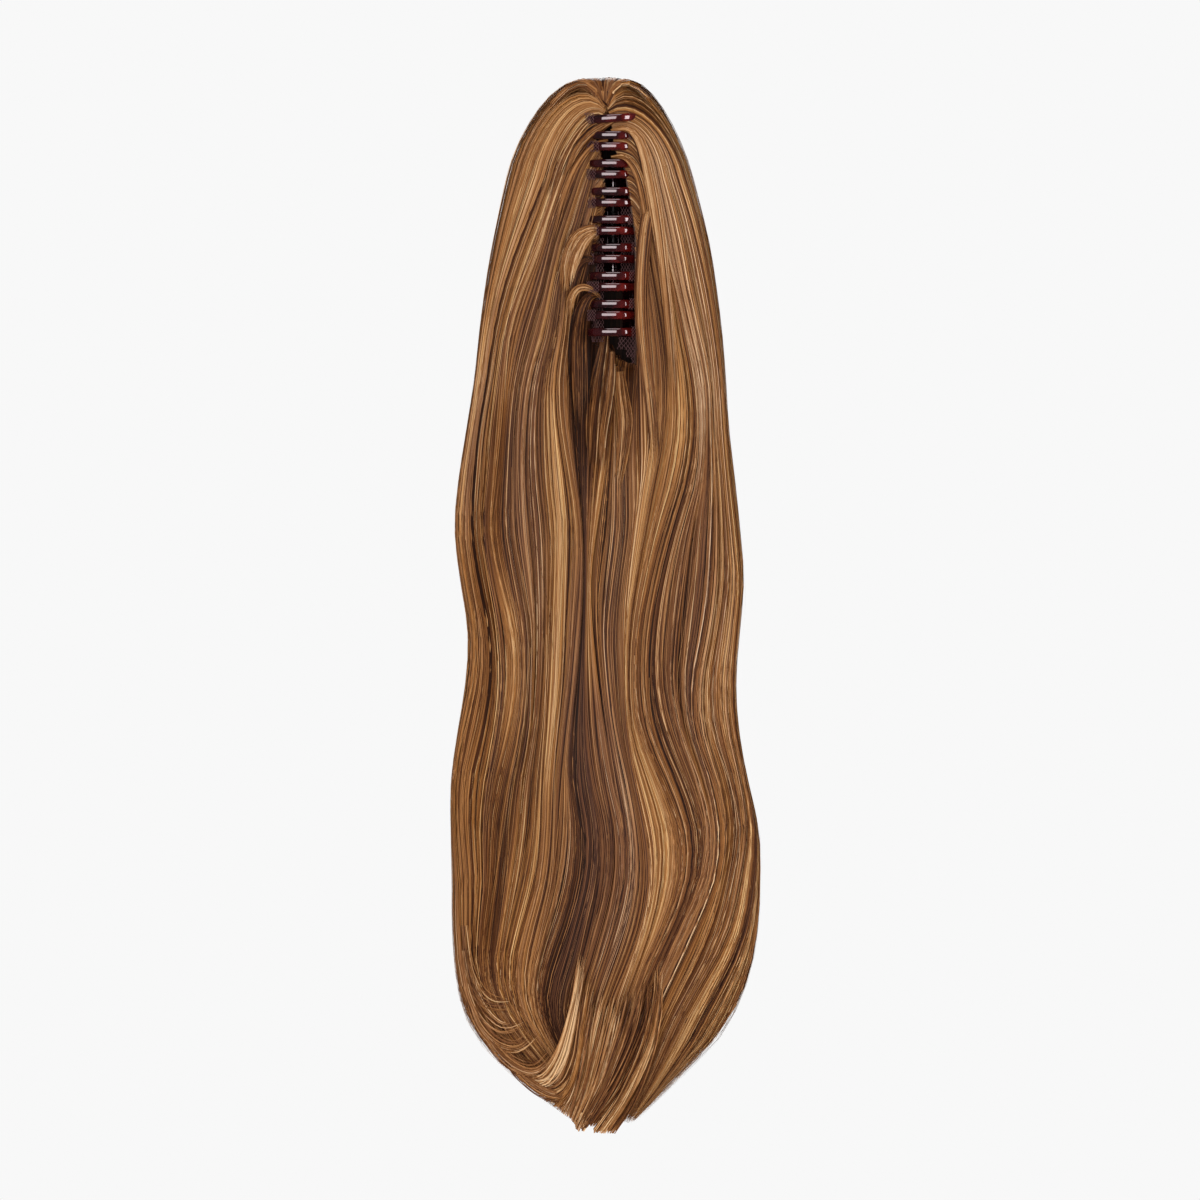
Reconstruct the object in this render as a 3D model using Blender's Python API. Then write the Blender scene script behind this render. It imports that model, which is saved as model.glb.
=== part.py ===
"""Claw-clip ponytail hairpiece, hanging by its claw with the teeth facing -Y.

Units are metres, +Z up. The origin is the middle of the claw's bite, where it grips
the wearer's own ponytail. The hinge pin runs along Z behind the bite, and the hair is
sewn to the two jaws in two halves, which part over the pin.
"""

import math

import bmesh
import bpy
from mathutils import Vector

MM = 0.001

# Claw: two jaws of eight curved teeth on one pin.
TEETH_PER_JAW = 8
TOOTH_PITCH = 14.6 * MM
LEFT_TOP_TOOTH_Z = 56.0 * MM
RIGHT_TOP_TOOTH_Z = 47.2 * MM
TOOTH_HEIGHT = 4.3 * MM
TOOTH_DEPTH = 3.6 * MM
TOOTH_ROOT_ANGLE = 58.0
TOOTH_TIP_ANGLE = 222.0
TOOTH_TAPER = (1.0, 1.0, 1.0, 1.0, 1.0, 1.0, 0.98, 0.94, 0.88, 0.8, 0.42)
SECTION_SIDES = 8

# Jaw arc seen from above: an ellipse through the pin, deeper towards the teeth.
JAW_HALF_WIDTH = 17.5 * MM
JAW_CENTRE_Y = -1.0 * MM
JAW_BACK_DEPTH = 19.0 * MM
JAW_FRONT_DEPTH = 22.5 * MM
WALL_THICKNESS = 2.4 * MM
WALL_START_ANGLE = 18.0
WALL_END_ANGLE = 76.0
WALL_TOP_Z = 58.2 * MM
WALL_BOTTOM_Z = -57.2 * MM

# Hinge and thumb levers.
HINGE_Y = JAW_CENTRE_Y + JAW_BACK_DEPTH
PIN_RADIUS = 1.25 * MM
PIN_HALF_LENGTH = 30.0 * MM
BORE_RADIUS = 1.35 * MM
KNUCKLE_RADIUS = 3.2 * MM
ROUND_SIDES = 16
LEFT_KNUCKLE_Z = (13.2 * MM, 21.0 * MM)
RIGHT_KNUCKLE_Z = (21.4 * MM, 29.2 * MM)
WEB_START_ANGLE = 4.0
WEB_END_ANGLE = 22.0
LEVER_HALF_ANGLE = 27.5
LEVER_START = 4.6 * MM
LEVER_REACH = 22.0 * MM
LEVER_THICKNESS = 2.4 * MM
LEVER_HALF_WIDTH = 21.0 * MM
YOKE_INNER_RADIUS = 4.0 * MM
YOKE_OUTER_RADIUS = 6.4 * MM
YOKE_END_ANGLE = 106.0

# Torsion spring around the pin, its legs on the levers.
SPRING_WIRE_RADIUS = 0.4 * MM
SPRING_COIL_RADIUS = 2.15 * MM
SPRING_HALF_LENGTH = 9.0 * MM
SPRING_TURNS = 6
SPRING_POINTS_PER_TURN = 8
SPRING_LEG_LENGTH = 13.0 * MM
SPRING_LEG_GAP = 0.35 * MM

# Netting that wraps each jaw and carries the hair.
NET_OFFSET = 2.2 * MM
NET_THICKNESS = 1.3 * MM
NET_START_ANGLE = 27.0
NET_END_ANGLE = 126.0
NET_TOP_Z = 58.0 * MM
NET_LEFT_BOTTOM_Z = -63.0 * MM
NET_RIGHT_BOTTOM_Z = -70.0 * MM

# Hair halves.
FIT_GAP = 0.4 * MM
PARTING_HALF_ANGLE = 27.0
HOLLOW_TOP_Z = 59.0 * MM
HOLLOW_BOTTOM_Z = -71.0 * MM
HOLLOW_CLOSE = 7.0 * MM
HOLLOW_JAW_ANGLES = (128.0, 108.0, 88.0, 66.0, 44.0, 25.0)
HOLLOW_YOKE_RADIUS = 7.5 * MM
HOLLOW_YOKE_GAP = 1.4 * MM
OUTER_POINTS = 23
LOCKS_PER_HALF = 5
LOCK_DEPTH = 2.6 * MM
LOCK_MIDDLE = 0.6
FULL_LOCK_REACH = 40.0 * MM
LOCK_DRIFT = 1.6
LOCK_DRIFT_LENGTH = 210.0 * MM
TIP_DROP = 3.5 * MM
ROUNDNESS = 0.82
MAX_STATION_STEP = 22.0 * MM

# One row for each section of the hair, in millimetres. z is its height, left and right
# are the widest reach each side of the pin, front, side and back are y at the front
# crest, at the widest place and at the back, edge_left and edge_right are where the
# front edges stand each side of the claw or valley, and valley is y at its bottom.
HAIR_COLUMNS = (
    "z", "left", "right", "front", "side", "back", "edge_left", "edge_right", "valley",
)
HAIR_SECTIONS = (
    (77.0, 14.0, 8.0, -4.0, 7.0, 19.0, 1.6, 1.2, 2.0),
    (73.0, 26.0, 15.0, -10.5, 8.0, 27.0, 2.0, 1.6, -5.0),
    (64.5, 36.8, 24.0, -17.5, 9.0, 35.5, 3.0, 2.6, -12.0),
    (59.0, 41.0, 27.0, -22.5, 9.0, 38.5, 11.5, 11.5, -16.0),
    (50.4, 46.8, 32.0, -25.0, 9.0, 42.0, 12.0, 12.0, -16.0),
    (37.4, 52.5, 37.6, -26.0, 9.0, 44.5, 12.5, 12.5, -16.0),
    (11.4, 59.8, 45.8, -27.5, 8.0, 46.0, 13.0, 13.0, -16.0),
    (-14.6, 64.5, 51.5, -28.0, 7.0, 45.5, 15.5, 13.0, -16.0),
    (-40.6, 68.1, 55.1, -28.0, 5.0, 43.5, 19.0, 13.5, -16.0),
    (-79.6, 72.3, 58.8, -28.0, 3.0, 38.0, 20.0, 12.0, 2.0),
    (-118.6, 78.0, 61.4, -28.0, 1.0, 32.0, 15.0, 8.0, -4.0),
    (-157.6, 82.7, 66.0, -28.0, -1.0, 28.0, 9.0, 4.0, -14.0),
    (-183.6, 79.6, 68.1, -28.0, -2.0, 26.5, 5.0, 2.5, -21.0),
    (-209.6, 75.4, 66.0, -28.0, -2.0, 25.5, 3.0, 2.0, -23.5),
    (-235.6, 76.4, 64.0, -28.5, -2.0, 25.5, 2.5, 2.0, -24.0),
    (-261.6, 80.6, 65.5, -29.0, -2.0, 26.0, 2.5, 2.0, -24.5),
    (-287.6, 84.2, 70.2, -29.5, -2.0, 26.5, 2.5, 2.0, -25.0),
    (-313.6, 84.2, 76.4, -29.5, -2.0, 26.5, 2.5, 2.0, -25.0),
    (-365.6, 83.7, 77.0, -29.0, -2.0, 25.0, 2.5, 2.0, -25.0),
    (-391.6, 81.1, 72.3, -28.0, -3.0, 23.0, 2.5, 2.0, -24.0),
    (-417.6, 74.4, 60.8, -26.0, -4.0, 18.0, 2.5, 2.0, -22.0),
    (-435.0, 62.0, 46.0, -24.0, -5.0, 13.0, 2.5, 2.0, -20.0),
    (-448.0, 46.0, 31.0, -22.0, -6.0, 9.0, 2.0, 1.6, -19.0),
    (-460.0, 28.0, 18.0, -19.0, -7.0, 5.0, 1.6, 1.2, -17.0),
    (-464.5, 17.0, 11.0, -16.0, -8.0, 0.0, 1.4, 1.0, -14.5),
)

# Ends that turn up in front of the fall, one row for each section from the top down. x
# and y are the middle, half_width and half_depth the size, in millimetres.
CURL_COLUMNS = ("z", "x", "y", "half_width", "half_depth")
CURL_SECTIONS = (
    (-378.0, 7.0, -32.5, 3.0, 1.2),
    (-392.0, 5.0, -33.8, 16.0, 2.8),
    (-410.0, 2.0, -34.5, 24.0, 3.8),
    (-430.0, 0.0, -34.0, 24.0, 4.4),
    (-448.0, -1.5, -32.0, 21.0, 5.0),
    (-460.0, -2.0, -28.0, 16.0, 5.0),
    (-467.5, -2.5, -24.0, 9.0, 3.6),
)
CURL_SIDES = 14
CURL_RIPPLE = 0.12
CURL_LOCKS = 3

# The block of hair that joins the turned-up ends to the left half, in millimetres.
CURL_ROOT = (-13.0, -24.0, -446.0)
CURL_ROOT_SIZE = (8.0, 12.0, 16.0)


def clear_scene():
    for obj in list(bpy.data.objects):
        bpy.data.objects.remove(obj, do_unlink=True)


def make_material(name, colour, roughness, metallic=0.0):
    material = bpy.data.materials.new(name)
    material.use_nodes = True
    shader = material.node_tree.nodes["Principled BSDF"]
    shader.inputs["Base Color"].default_value = (*colour, 1.0)
    shader.inputs["Roughness"].default_value = roughness
    shader.inputs["Metallic"].default_value = metallic
    material.diffuse_color = (*colour, 1.0)
    return material


def object_from(name, bm, material=None, smooth_below=35.0):
    """A mesh object from bm, smooth but for edges that turn by more than smooth_below degrees."""
    bmesh.ops.recalc_face_normals(bm, faces=bm.faces)
    mesh = bpy.data.meshes.new(name)
    bm.to_mesh(mesh)
    bm.free()
    mesh.shade_smooth()
    mesh.set_sharp_from_angle(angle=math.radians(smooth_below))
    if material:
        mesh.materials.append(material)
    obj = bpy.data.objects.new(name, mesh)
    bpy.context.scene.collection.objects.link(obj)
    return obj


def add_loft(bm, rings):
    """Joins rings of equal length into a closed skin and caps both ends."""
    loops = [[bm.verts.new(point) for point in ring] for ring in rings]
    for lower, upper in zip(loops, loops[1:]):
        count = len(lower)
        for i in range(count):
            j = (i + 1) % count
            bm.faces.new((lower[i], lower[j], upper[j], upper[i]))
    bm.faces.new(list(reversed(loops[0])))
    bm.faces.new(loops[-1])


def combine(base, others, operation):
    """Applies a Boolean of base with each of others, which are then removed."""
    for other in others:
        modifier = base.modifiers.new(operation.title(), "BOOLEAN")
        modifier.operation = operation
        modifier.solver = "EXACT"
        modifier.object = other
        with bpy.context.temp_override(object=base, active_object=base):
            bpy.ops.object.modifier_apply(modifier=modifier.name)
        bpy.data.objects.remove(other, do_unlink=True)
    base.data.shade_smooth()
    base.data.set_sharp_from_angle(angle=math.radians(35.0))


def jaw_point(side, angle, offset=0.0):
    """A point on the jaw's arc from above. Angle 0 is the pin, 90 the widest, 180 the front."""
    t = math.radians(angle)
    depth = JAW_BACK_DEPTH if math.cos(t) > 0 else JAW_FRONT_DEPTH
    normal = Vector((depth * math.sin(t), JAW_HALF_WIDTH * math.cos(t))).normalized()
    x = JAW_HALF_WIDTH * math.sin(t) + offset * normal.x
    y = JAW_CENTRE_Y + depth * math.cos(t) + offset * normal.y
    return side * x, y


def spread(low, high, count):
    """count values from low to high, both included."""
    return [low + (high - low) * i / (count - 1) for i in range(count)]


def add_arc_band(bm, side, angles, inner, outer, z_low, z_high):
    """A curved plate that follows the jaw's arc between two offsets."""
    rings = []
    for angle in angles:
        near, far = jaw_point(side, angle, inner), jaw_point(side, angle, outer)
        rings.append(
            [(*near, z_low), (*far, z_low), (*far, z_high), (*near, z_high)]
        )
    add_loft(bm, rings)


def add_tooth(bm, side, z):
    """One tooth: a round rod that follows the jaw's arc and tapers to a blunt tip."""
    angles = spread(TOOTH_ROOT_ANGLE, TOOTH_TIP_ANGLE, len(TOOTH_TAPER))
    rings = []
    for angle, taper in zip(angles, TOOTH_TAPER):
        ring = []
        for k in range(SECTION_SIDES):
            turn = 2 * math.pi * (k + 0.5) / SECTION_SIDES
            across = TOOTH_DEPTH / 2 * taper * math.cos(turn)
            up = TOOTH_HEIGHT / 2 * taper * math.sin(turn)
            ring.append((*jaw_point(side, angle, across), z + up))
        rings.append(ring)
    add_loft(bm, rings)


def ray(side, degrees, radius, shift=0.0):
    """A point at a radius from the pin, degrees from straight back, moved outwards by shift."""
    a = math.radians(degrees)
    x = radius * math.sin(a) + shift * math.cos(a)
    y = HINGE_Y + radius * math.cos(a) - shift * math.sin(a)
    return side * x, y


def add_prism(bm, outline, z_low, z_high):
    add_loft(bm, [[(*p, z_low) for p in outline], [(*p, z_high) for p in outline]])


def lever_outline(side, start):
    return [
        ray(side, LEVER_HALF_ANGLE, start),
        ray(side, LEVER_HALF_ANGLE, LEVER_REACH),
        ray(side, LEVER_HALF_ANGLE, LEVER_REACH, LEVER_THICKNESS),
        ray(side, LEVER_HALF_ANGLE, start, LEVER_THICKNESS),
    ]


def yoke_outline(side):
    """The C around the hinge that joins the lever to the jaw wall."""
    turns = spread(LEVER_HALF_ANGLE, YOKE_END_ANGLE, 7)
    inner = [ray(side, a, YOKE_INNER_RADIUS) for a in turns]
    outer = [ray(side, a, YOKE_OUTER_RADIUS) for a in reversed(turns)]
    return inner + outer


def circle(radius):
    """A circle round the pin, seen from above."""
    points = []
    for i in range(ROUND_SIDES):
        turn = 2 * math.pi * i / ROUND_SIDES
        points.append((radius * math.cos(turn), HINGE_Y + radius * math.sin(turn)))
    return points


def make_jaw(name, side, top_tooth_z, knuckle_z, material):
    """One moulded half of the claw: wall, teeth, yoke, lever and knuckles in one solid."""
    half_wall = WALL_THICKNESS / 2
    wall = bmesh.new()
    wall_angles = spread(WALL_START_ANGLE, WALL_END_ANGLE, 8)
    add_arc_band(wall, side, wall_angles, -half_wall, half_wall, WALL_BOTTOM_Z, WALL_TOP_Z)
    jaw = object_from(name, wall, material)

    teeth = bmesh.new()
    for i in range(TEETH_PER_JAW):
        add_tooth(teeth, side, top_tooth_z - i * TOOTH_PITCH)
    yoke = bmesh.new()
    add_prism(yoke, yoke_outline(side), -LEVER_HALF_WIDTH, LEVER_HALF_WIDTH)
    lever = bmesh.new()
    add_prism(lever, lever_outline(side, LEVER_START), -LEVER_HALF_WIDTH, LEVER_HALF_WIDTH)
    webs, knuckles, bores = bmesh.new(), bmesh.new(), bmesh.new()
    for low, high in (knuckle_z, (-knuckle_z[1], -knuckle_z[0])):
        web_angles = spread(WEB_START_ANGLE, WEB_END_ANGLE, 4)
        add_arc_band(webs, side, web_angles, -half_wall, half_wall, low, high)
        add_prism(knuckles, circle(KNUCKLE_RADIUS), low, high)
        add_prism(bores, circle(BORE_RADIUS), low - MM, high + MM)
    added = {"teeth": teeth, "yoke": yoke, "lever": lever, "webs": webs, "knuckles": knuckles}
    combine(jaw, [object_from(f"{name}_{part}", bm) for part, bm in added.items()], "UNION")
    combine(jaw, [object_from(f"{name}_bores", bores)], "DIFFERENCE")
    return jaw


def make_pin(material):
    bm = bmesh.new()
    add_prism(bm, circle(PIN_RADIUS), -PIN_HALF_LENGTH, PIN_HALF_LENGTH)
    return object_from("hinge_pin", bm, material)


def spring_path():
    """From the right leg's tip round the pin to the left leg's tip."""
    first, last = 180.0 - LEVER_HALF_ANGLE, LEVER_HALF_ANGLE + 360.0 * SPRING_TURNS
    steps = SPRING_POINTS_PER_TURN * SPRING_TURNS
    coil = []
    for i in range(steps + 1):
        a = math.radians(first + (last - first) * i / steps)
        z = SPRING_HALF_LENGTH * (1 - 2 * i / steps)
        x = SPRING_COIL_RADIUS * math.cos(a)
        y = HINGE_Y + SPRING_COIL_RADIUS * math.sin(a)
        coil.append(Vector((x, y, z)))
    stand_off = -(SPRING_WIRE_RADIUS + SPRING_LEG_GAP)
    right_tip = ray(1, LEVER_HALF_ANGLE, SPRING_LEG_LENGTH, stand_off)
    left_tip = ray(-1, LEVER_HALF_ANGLE, SPRING_LEG_LENGTH, stand_off)
    right = Vector((*right_tip, SPRING_HALF_LENGTH))
    left = Vector((*left_tip, -SPRING_HALF_LENGTH))
    return [right, *coil, left]


def make_spring(material):
    curve = bpy.data.curves.new("torsion_spring", "CURVE")
    curve.dimensions = "3D"
    curve.bevel_depth = SPRING_WIRE_RADIUS
    curve.bevel_resolution = 1
    curve.use_fill_caps = True
    curve.materials.append(material)
    points = spring_path()
    line = curve.splines.new("POLY")
    line.points.add(len(points) - 1)
    for point, place in zip(line.points, points):
        point.co = (*place, 1.0)
    obj = bpy.data.objects.new("torsion_spring", curve)
    bpy.context.scene.collection.objects.link(obj)
    return obj


def make_net(name, side, bottom_z, material):
    bm = bmesh.new()
    angles = spread(NET_START_ANGLE, NET_END_ANGLE, 12)
    add_arc_band(bm, side, angles, NET_OFFSET, NET_OFFSET + NET_THICKNESS, bottom_z, NET_TOP_Z)
    return object_from(name, bm, material)


def blend_rows(rows, z):
    """The table's values at height z in millimetres, between the rows either side of it."""
    for above, below in zip(rows, rows[1:]):
        if above[0] >= z >= below[0]:
            f = (above[0] - z) / (above[0] - below[0])
            return [a + (b - a) * f for a, b in zip(above, below)]
    return list(rows[0] if z > rows[0][0] else rows[-1])


def section_heights():
    """The heights of the rows and of the hollow's ends, with more between those far apart."""
    ends = (HOLLOW_TOP_Z + HOLLOW_CLOSE, HOLLOW_TOP_Z, HOLLOW_BOTTOM_Z, HOLLOW_BOTTOM_Z - HOLLOW_CLOSE)
    wanted = sorted([row[0] * MM for row in HAIR_SECTIONS] + list(ends), reverse=True)
    heights = wanted[:1]
    for end in wanted[1:]:
        start = heights[-1]
        steps = max(1, math.ceil((start - end) / MAX_STATION_STEP))
        heights += [start + (end - start) * k / steps for k in range(1, steps + 1)]
    return heights


def hollow_share(z):
    """1 where the hair opens round the claw, 0 where it is closed above and below it."""
    above = (HOLLOW_TOP_Z + HOLLOW_CLOSE - z) / HOLLOW_CLOSE
    below = (z - HOLLOW_BOTTOM_Z + HOLLOW_CLOSE) / HOLLOW_CLOSE
    return max(0.0, min(1.0, above, below))


def parting_x(y):
    """How far a half stays from the mid plane, so that it clears the other as the claw opens."""
    return FIT_GAP + max(0.0, y - HINGE_Y) * math.tan(math.radians(PARTING_HALF_ANGLE))


def outer_arc(row, side, z):
    """The half's outer surface from its front edge round to the parting at the back."""
    reach = row["left"] if side < 0 else row["right"]
    edge = row["edge_left"] if side < 0 else row["edge_right"]
    start = math.asin(min(0.9, edge / reach) ** (1 / ROUNDNESS))
    drift = LOCK_DRIFT * math.sin(2 * math.pi * z / LOCK_DRIFT_LENGTH + side)
    lock_depth = LOCK_DEPTH * min(1.0, reach / FULL_LOCK_REACH)
    points = []
    for share in spread(0.0, 1.0, OUTER_POINTS):
        t = start + (math.pi - start) * share
        half_depth = row["side"] - row["front"] if t < math.pi / 2 else row["back"] - row["side"]
        wave = abs(math.cos(math.pi * LOCKS_PER_HALF * share + drift)) - LOCK_MIDDLE
        depth = lock_depth * wave * math.sqrt(max(0.0, math.sin(math.pi * share)))
        normal = Vector((half_depth * math.sin(t), -reach * math.cos(t))).normalized()
        x = reach * max(0.0, math.sin(t)) ** ROUNDNESS + depth * normal.x
        y = row["side"] - half_depth * math.cos(t) + depth * normal.y
        points.append((max(x, parting_x(y)), y))
    return points


def hollow_outline():
    """Round the outside of a jaw and its net, then past the lever to the parting."""
    clear = NET_OFFSET + NET_THICKNESS + FIT_GAP
    points = [jaw_point(1, angle, clear) for angle in HOLLOW_JAW_ANGLES]
    points.append(ray(1, LEVER_HALF_ANGLE, HOLLOW_YOKE_RADIUS, LEVER_THICKNESS + HOLLOW_YOKE_GAP))
    points.append(ray(1, LEVER_HALF_ANGLE, LEVER_REACH + FIT_GAP, LEVER_THICKNESS + FIT_GAP))
    x, y = ray(1, LEVER_HALF_ANGLE, LEVER_REACH + 2 * FIT_GAP)
    points.append((max(x, parting_x(y)), y))
    return points


def inner_path(row, z, front, back):
    """The half's inner surface from the back parting to its front edge."""
    opened = hollow_outline()
    valley = max(row["valley"], front[1] + MM)
    share = hollow_share(z)
    points = []
    for i, (x, y) in enumerate(opened):
        closed_y = valley + (back[1] - valley) * i / len(opened)
        closed_x = parting_x(closed_y)
        points.append((closed_x + (x - closed_x) * share, closed_y + (y - closed_y) * share))
    return points[::-1]


def make_hair_half(name, side, material):
    """One half of the fall: locks fused to a backing that is hollow round the claw."""
    rings = []
    for z in section_heights():
        values = blend_rows(HAIR_SECTIONS, z / MM)
        row = {column: value * MM for column, value in zip(HAIR_COLUMNS, values)}
        outer = outer_arc(row, side, z)
        ring = outer + inner_path(row, z, outer[0], outer[-1])
        rings.append([[side * x, y, z] for x, y in ring])
    for i, share in enumerate(spread(0.0, 1.0, OUTER_POINTS)):
        rings[-1][i][2] -= TIP_DROP * abs(math.cos(math.pi * LOCKS_PER_HALF * share))
    bm = bmesh.new()
    add_loft(bm, rings)
    bmesh.ops.triangulate(bm, faces=[f for f in bm.faces if len(f.verts) > 4])
    return object_from(name, bm, material, smooth_below=60.0)


def make_front_curl(hair_left):
    """The turned-up ends, fused to the left half below and clear of the right one."""
    rings = []
    for values in CURL_SECTIONS:
        lock = {column: value * MM for column, value in zip(CURL_COLUMNS, values)}
        ring = []
        for k in range(CURL_SIDES):
            turn = 2 * math.pi * k / CURL_SIDES
            ripple = 1.0 + CURL_RIPPLE * math.cos(CURL_LOCKS * turn)
            x = lock["x"] + lock["half_width"] * math.cos(turn)
            y = lock["y"] + lock["half_depth"] * ripple * math.sin(turn)
            ring.append((x, y, lock["z"]))
        rings.append(ring)
    curl = bmesh.new()
    add_loft(curl, rings)
    root = bmesh.new()
    bmesh.ops.create_cube(root, size=1.0)
    for vert in root.verts:
        corner = zip(CURL_ROOT, CURL_ROOT_SIZE, vert.co)
        vert.co = Vector([(middle + size * share) * MM for middle, size, share in corner])
    combine(hair_left, [object_from("curl", curl), object_from("curl_root", root)], "UNION")


def build():
    clear_scene()
    shell = make_material("tortoiseshell", (0.10, 0.018, 0.014), 0.18)
    steel = make_material("steel", (0.62, 0.63, 0.64), 0.3, 1.0)
    netting = make_material("netting", (0.09, 0.045, 0.05), 0.85)
    hair = make_material("hair", (0.42, 0.25, 0.13), 0.5)

    make_jaw("claw_jaw_left", -1, LEFT_TOP_TOOTH_Z, LEFT_KNUCKLE_Z, shell)
    make_jaw("claw_jaw_right", 1, RIGHT_TOP_TOOTH_Z, RIGHT_KNUCKLE_Z, shell)
    make_pin(steel)
    make_spring(steel)
    make_net("net_left", -1, NET_LEFT_BOTTOM_Z, netting)
    make_net("net_right", 1, NET_RIGHT_BOTTOM_Z, netting)
    hair_left = make_hair_half("hair_left", -1, hair)
    make_front_curl(hair_left)
    make_hair_half("hair_right", 1, hair)


build()
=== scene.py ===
"""Looks of the ponytail hairpiece: strands of hair, netting and a tortoiseshell claw.

Metres, +Z up, the head side with the claw's teeth towards -Y. Hair is made of thin
ribbons that follow one smooth shell, given by a table of sections, from the crown of
the claw round its sides and down to the ends.
"""

import math

import bmesh
import bpy
import numpy as np
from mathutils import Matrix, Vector

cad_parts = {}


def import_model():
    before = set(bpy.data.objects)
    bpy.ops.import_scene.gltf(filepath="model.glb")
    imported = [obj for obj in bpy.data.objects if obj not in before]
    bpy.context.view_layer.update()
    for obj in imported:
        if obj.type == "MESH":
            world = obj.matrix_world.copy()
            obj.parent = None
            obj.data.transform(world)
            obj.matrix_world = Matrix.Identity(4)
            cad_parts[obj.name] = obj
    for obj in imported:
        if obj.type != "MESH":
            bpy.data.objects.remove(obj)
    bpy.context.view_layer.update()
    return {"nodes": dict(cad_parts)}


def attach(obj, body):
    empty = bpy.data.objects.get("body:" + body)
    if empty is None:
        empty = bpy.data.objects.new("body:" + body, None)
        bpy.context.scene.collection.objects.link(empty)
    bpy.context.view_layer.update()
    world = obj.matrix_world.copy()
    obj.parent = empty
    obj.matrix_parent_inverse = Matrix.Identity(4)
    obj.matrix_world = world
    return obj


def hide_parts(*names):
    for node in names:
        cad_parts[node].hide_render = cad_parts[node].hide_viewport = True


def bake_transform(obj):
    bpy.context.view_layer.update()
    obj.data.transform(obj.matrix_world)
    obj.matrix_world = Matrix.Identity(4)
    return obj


MM = 0.001
LEFT, RIGHT = -1, 1
SIDE_NAMES = {LEFT: "left", RIGHT: "right"}
SIDE_BODIES = {LEFT: "left_half", RIGHT: "right_half"}

# The photograph's frame: its width, the pixel of the origin and the camera's distance.
FRAME_WIDTH = 624.0 * MM
FRAME_PIXELS = 1200
PIXEL = FRAME_WIDTH / FRAME_PIXELS
ORIGIN_X_PX = 613.0
ORIGIN_Y_PX = 227.0
CAMERA_DISTANCE = 9.0
SENSOR_WIDTH = 36.0

# Sections of the hair from the top down, in millimetres: the widest reach to the left and
# right, and y at the front, at the widest place, at the back and in the front's middle.
SECTION_COLUMNS = ("z", "left", "right", "front", "side", "back", "valley")
SECTIONS = (
    (77.8, 12.0, 8.0, 1.0, 7.0, 13.0, 1.0),
    (76.8, 17.0, 12.0, -4.0, 7.2, 19.0, -4.0),
    (75.0, 23.0, 16.0, -8.0, 7.5, 23.5, -8.0),
    (71.0, 30.5, 20.0, -13.0, 8.0, 30.0, -13.0),
    (64.5, 37.4, 24.5, -19.0, 9.0, 35.5, -18.0),
    (50.4, 46.8, 31.4, -25.5, 9.0, 42.0, -20.0),
    (37.4, 52.5, 37.6, -26.8, 9.0, 44.5, -20.0),
    (11.4, 59.8, 45.8, -27.8, 8.0, 46.0, -20.0),
    (-14.6, 64.5, 51.5, -28.0, 7.0, 45.5, -20.0),
    (-40.6, 68.1, 55.1, -28.0, 5.0, 43.5, -16.0),
    (-60.0, 70.5, 57.0, -28.5, 4.0, 41.0, -8.0),
    (-79.6, 72.3, 58.8, -28.5, 3.0, 38.0, -7.0),
    (-100.0, 75.0, 60.0, -28.5, 2.0, 35.0, -12.0),
    (-118.6, 78.0, 61.4, -28.5, 1.0, 32.0, -18.0),
    (-137.0, 80.5, 64.0, -28.0, 0.0, 30.0, -22.0),
    (-157.6, 82.7, 66.0, -27.5, -1.0, 28.0, -24.0),
    (-183.6, 79.6, 68.1, -27.0, -2.0, 26.5, -24.5),
    (-209.6, 75.4, 66.0, -26.5, -2.0, 25.5, -24.5),
    (-235.6, 76.4, 64.0, -27.0, -2.0, 25.5, -25.0),
    (-261.6, 80.6, 65.5, -28.0, -2.0, 26.0, -26.0),
    (-287.6, 84.2, 70.2, -29.5, -2.0, 26.5, -27.5),
    (-313.6, 84.2, 76.4, -30.5, -2.0, 26.5, -28.5),
    (-365.6, 83.7, 77.4, -31.0, -2.0, 25.0, -29.0),
    (-391.6, 81.1, 72.3, -30.0, -3.0, 23.0, -28.0),
    (-417.6, 74.4, 60.8, -28.0, -4.0, 18.0, -26.0),
    (-435.0, 60.6, 44.0, -25.5, -5.0, 13.0, -23.5),
    (-448.0, 45.8, 30.6, -23.0, -6.0, 9.0, -21.0),
    (-457.0, 35.0, 23.0, -21.0, -7.0, 6.0, -19.0),
    (-464.0, 23.0, 14.0, -18.0, -8.0, 1.0, -17.0),
    (-469.0, 14.5, 9.0, -15.0, -9.0, -3.0, -15.0),
)
ROUNDNESS = 0.82
VALLEY_WIDTH = 16.0 * MM
SECTION_STEP = 1.0 * MM

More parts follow.
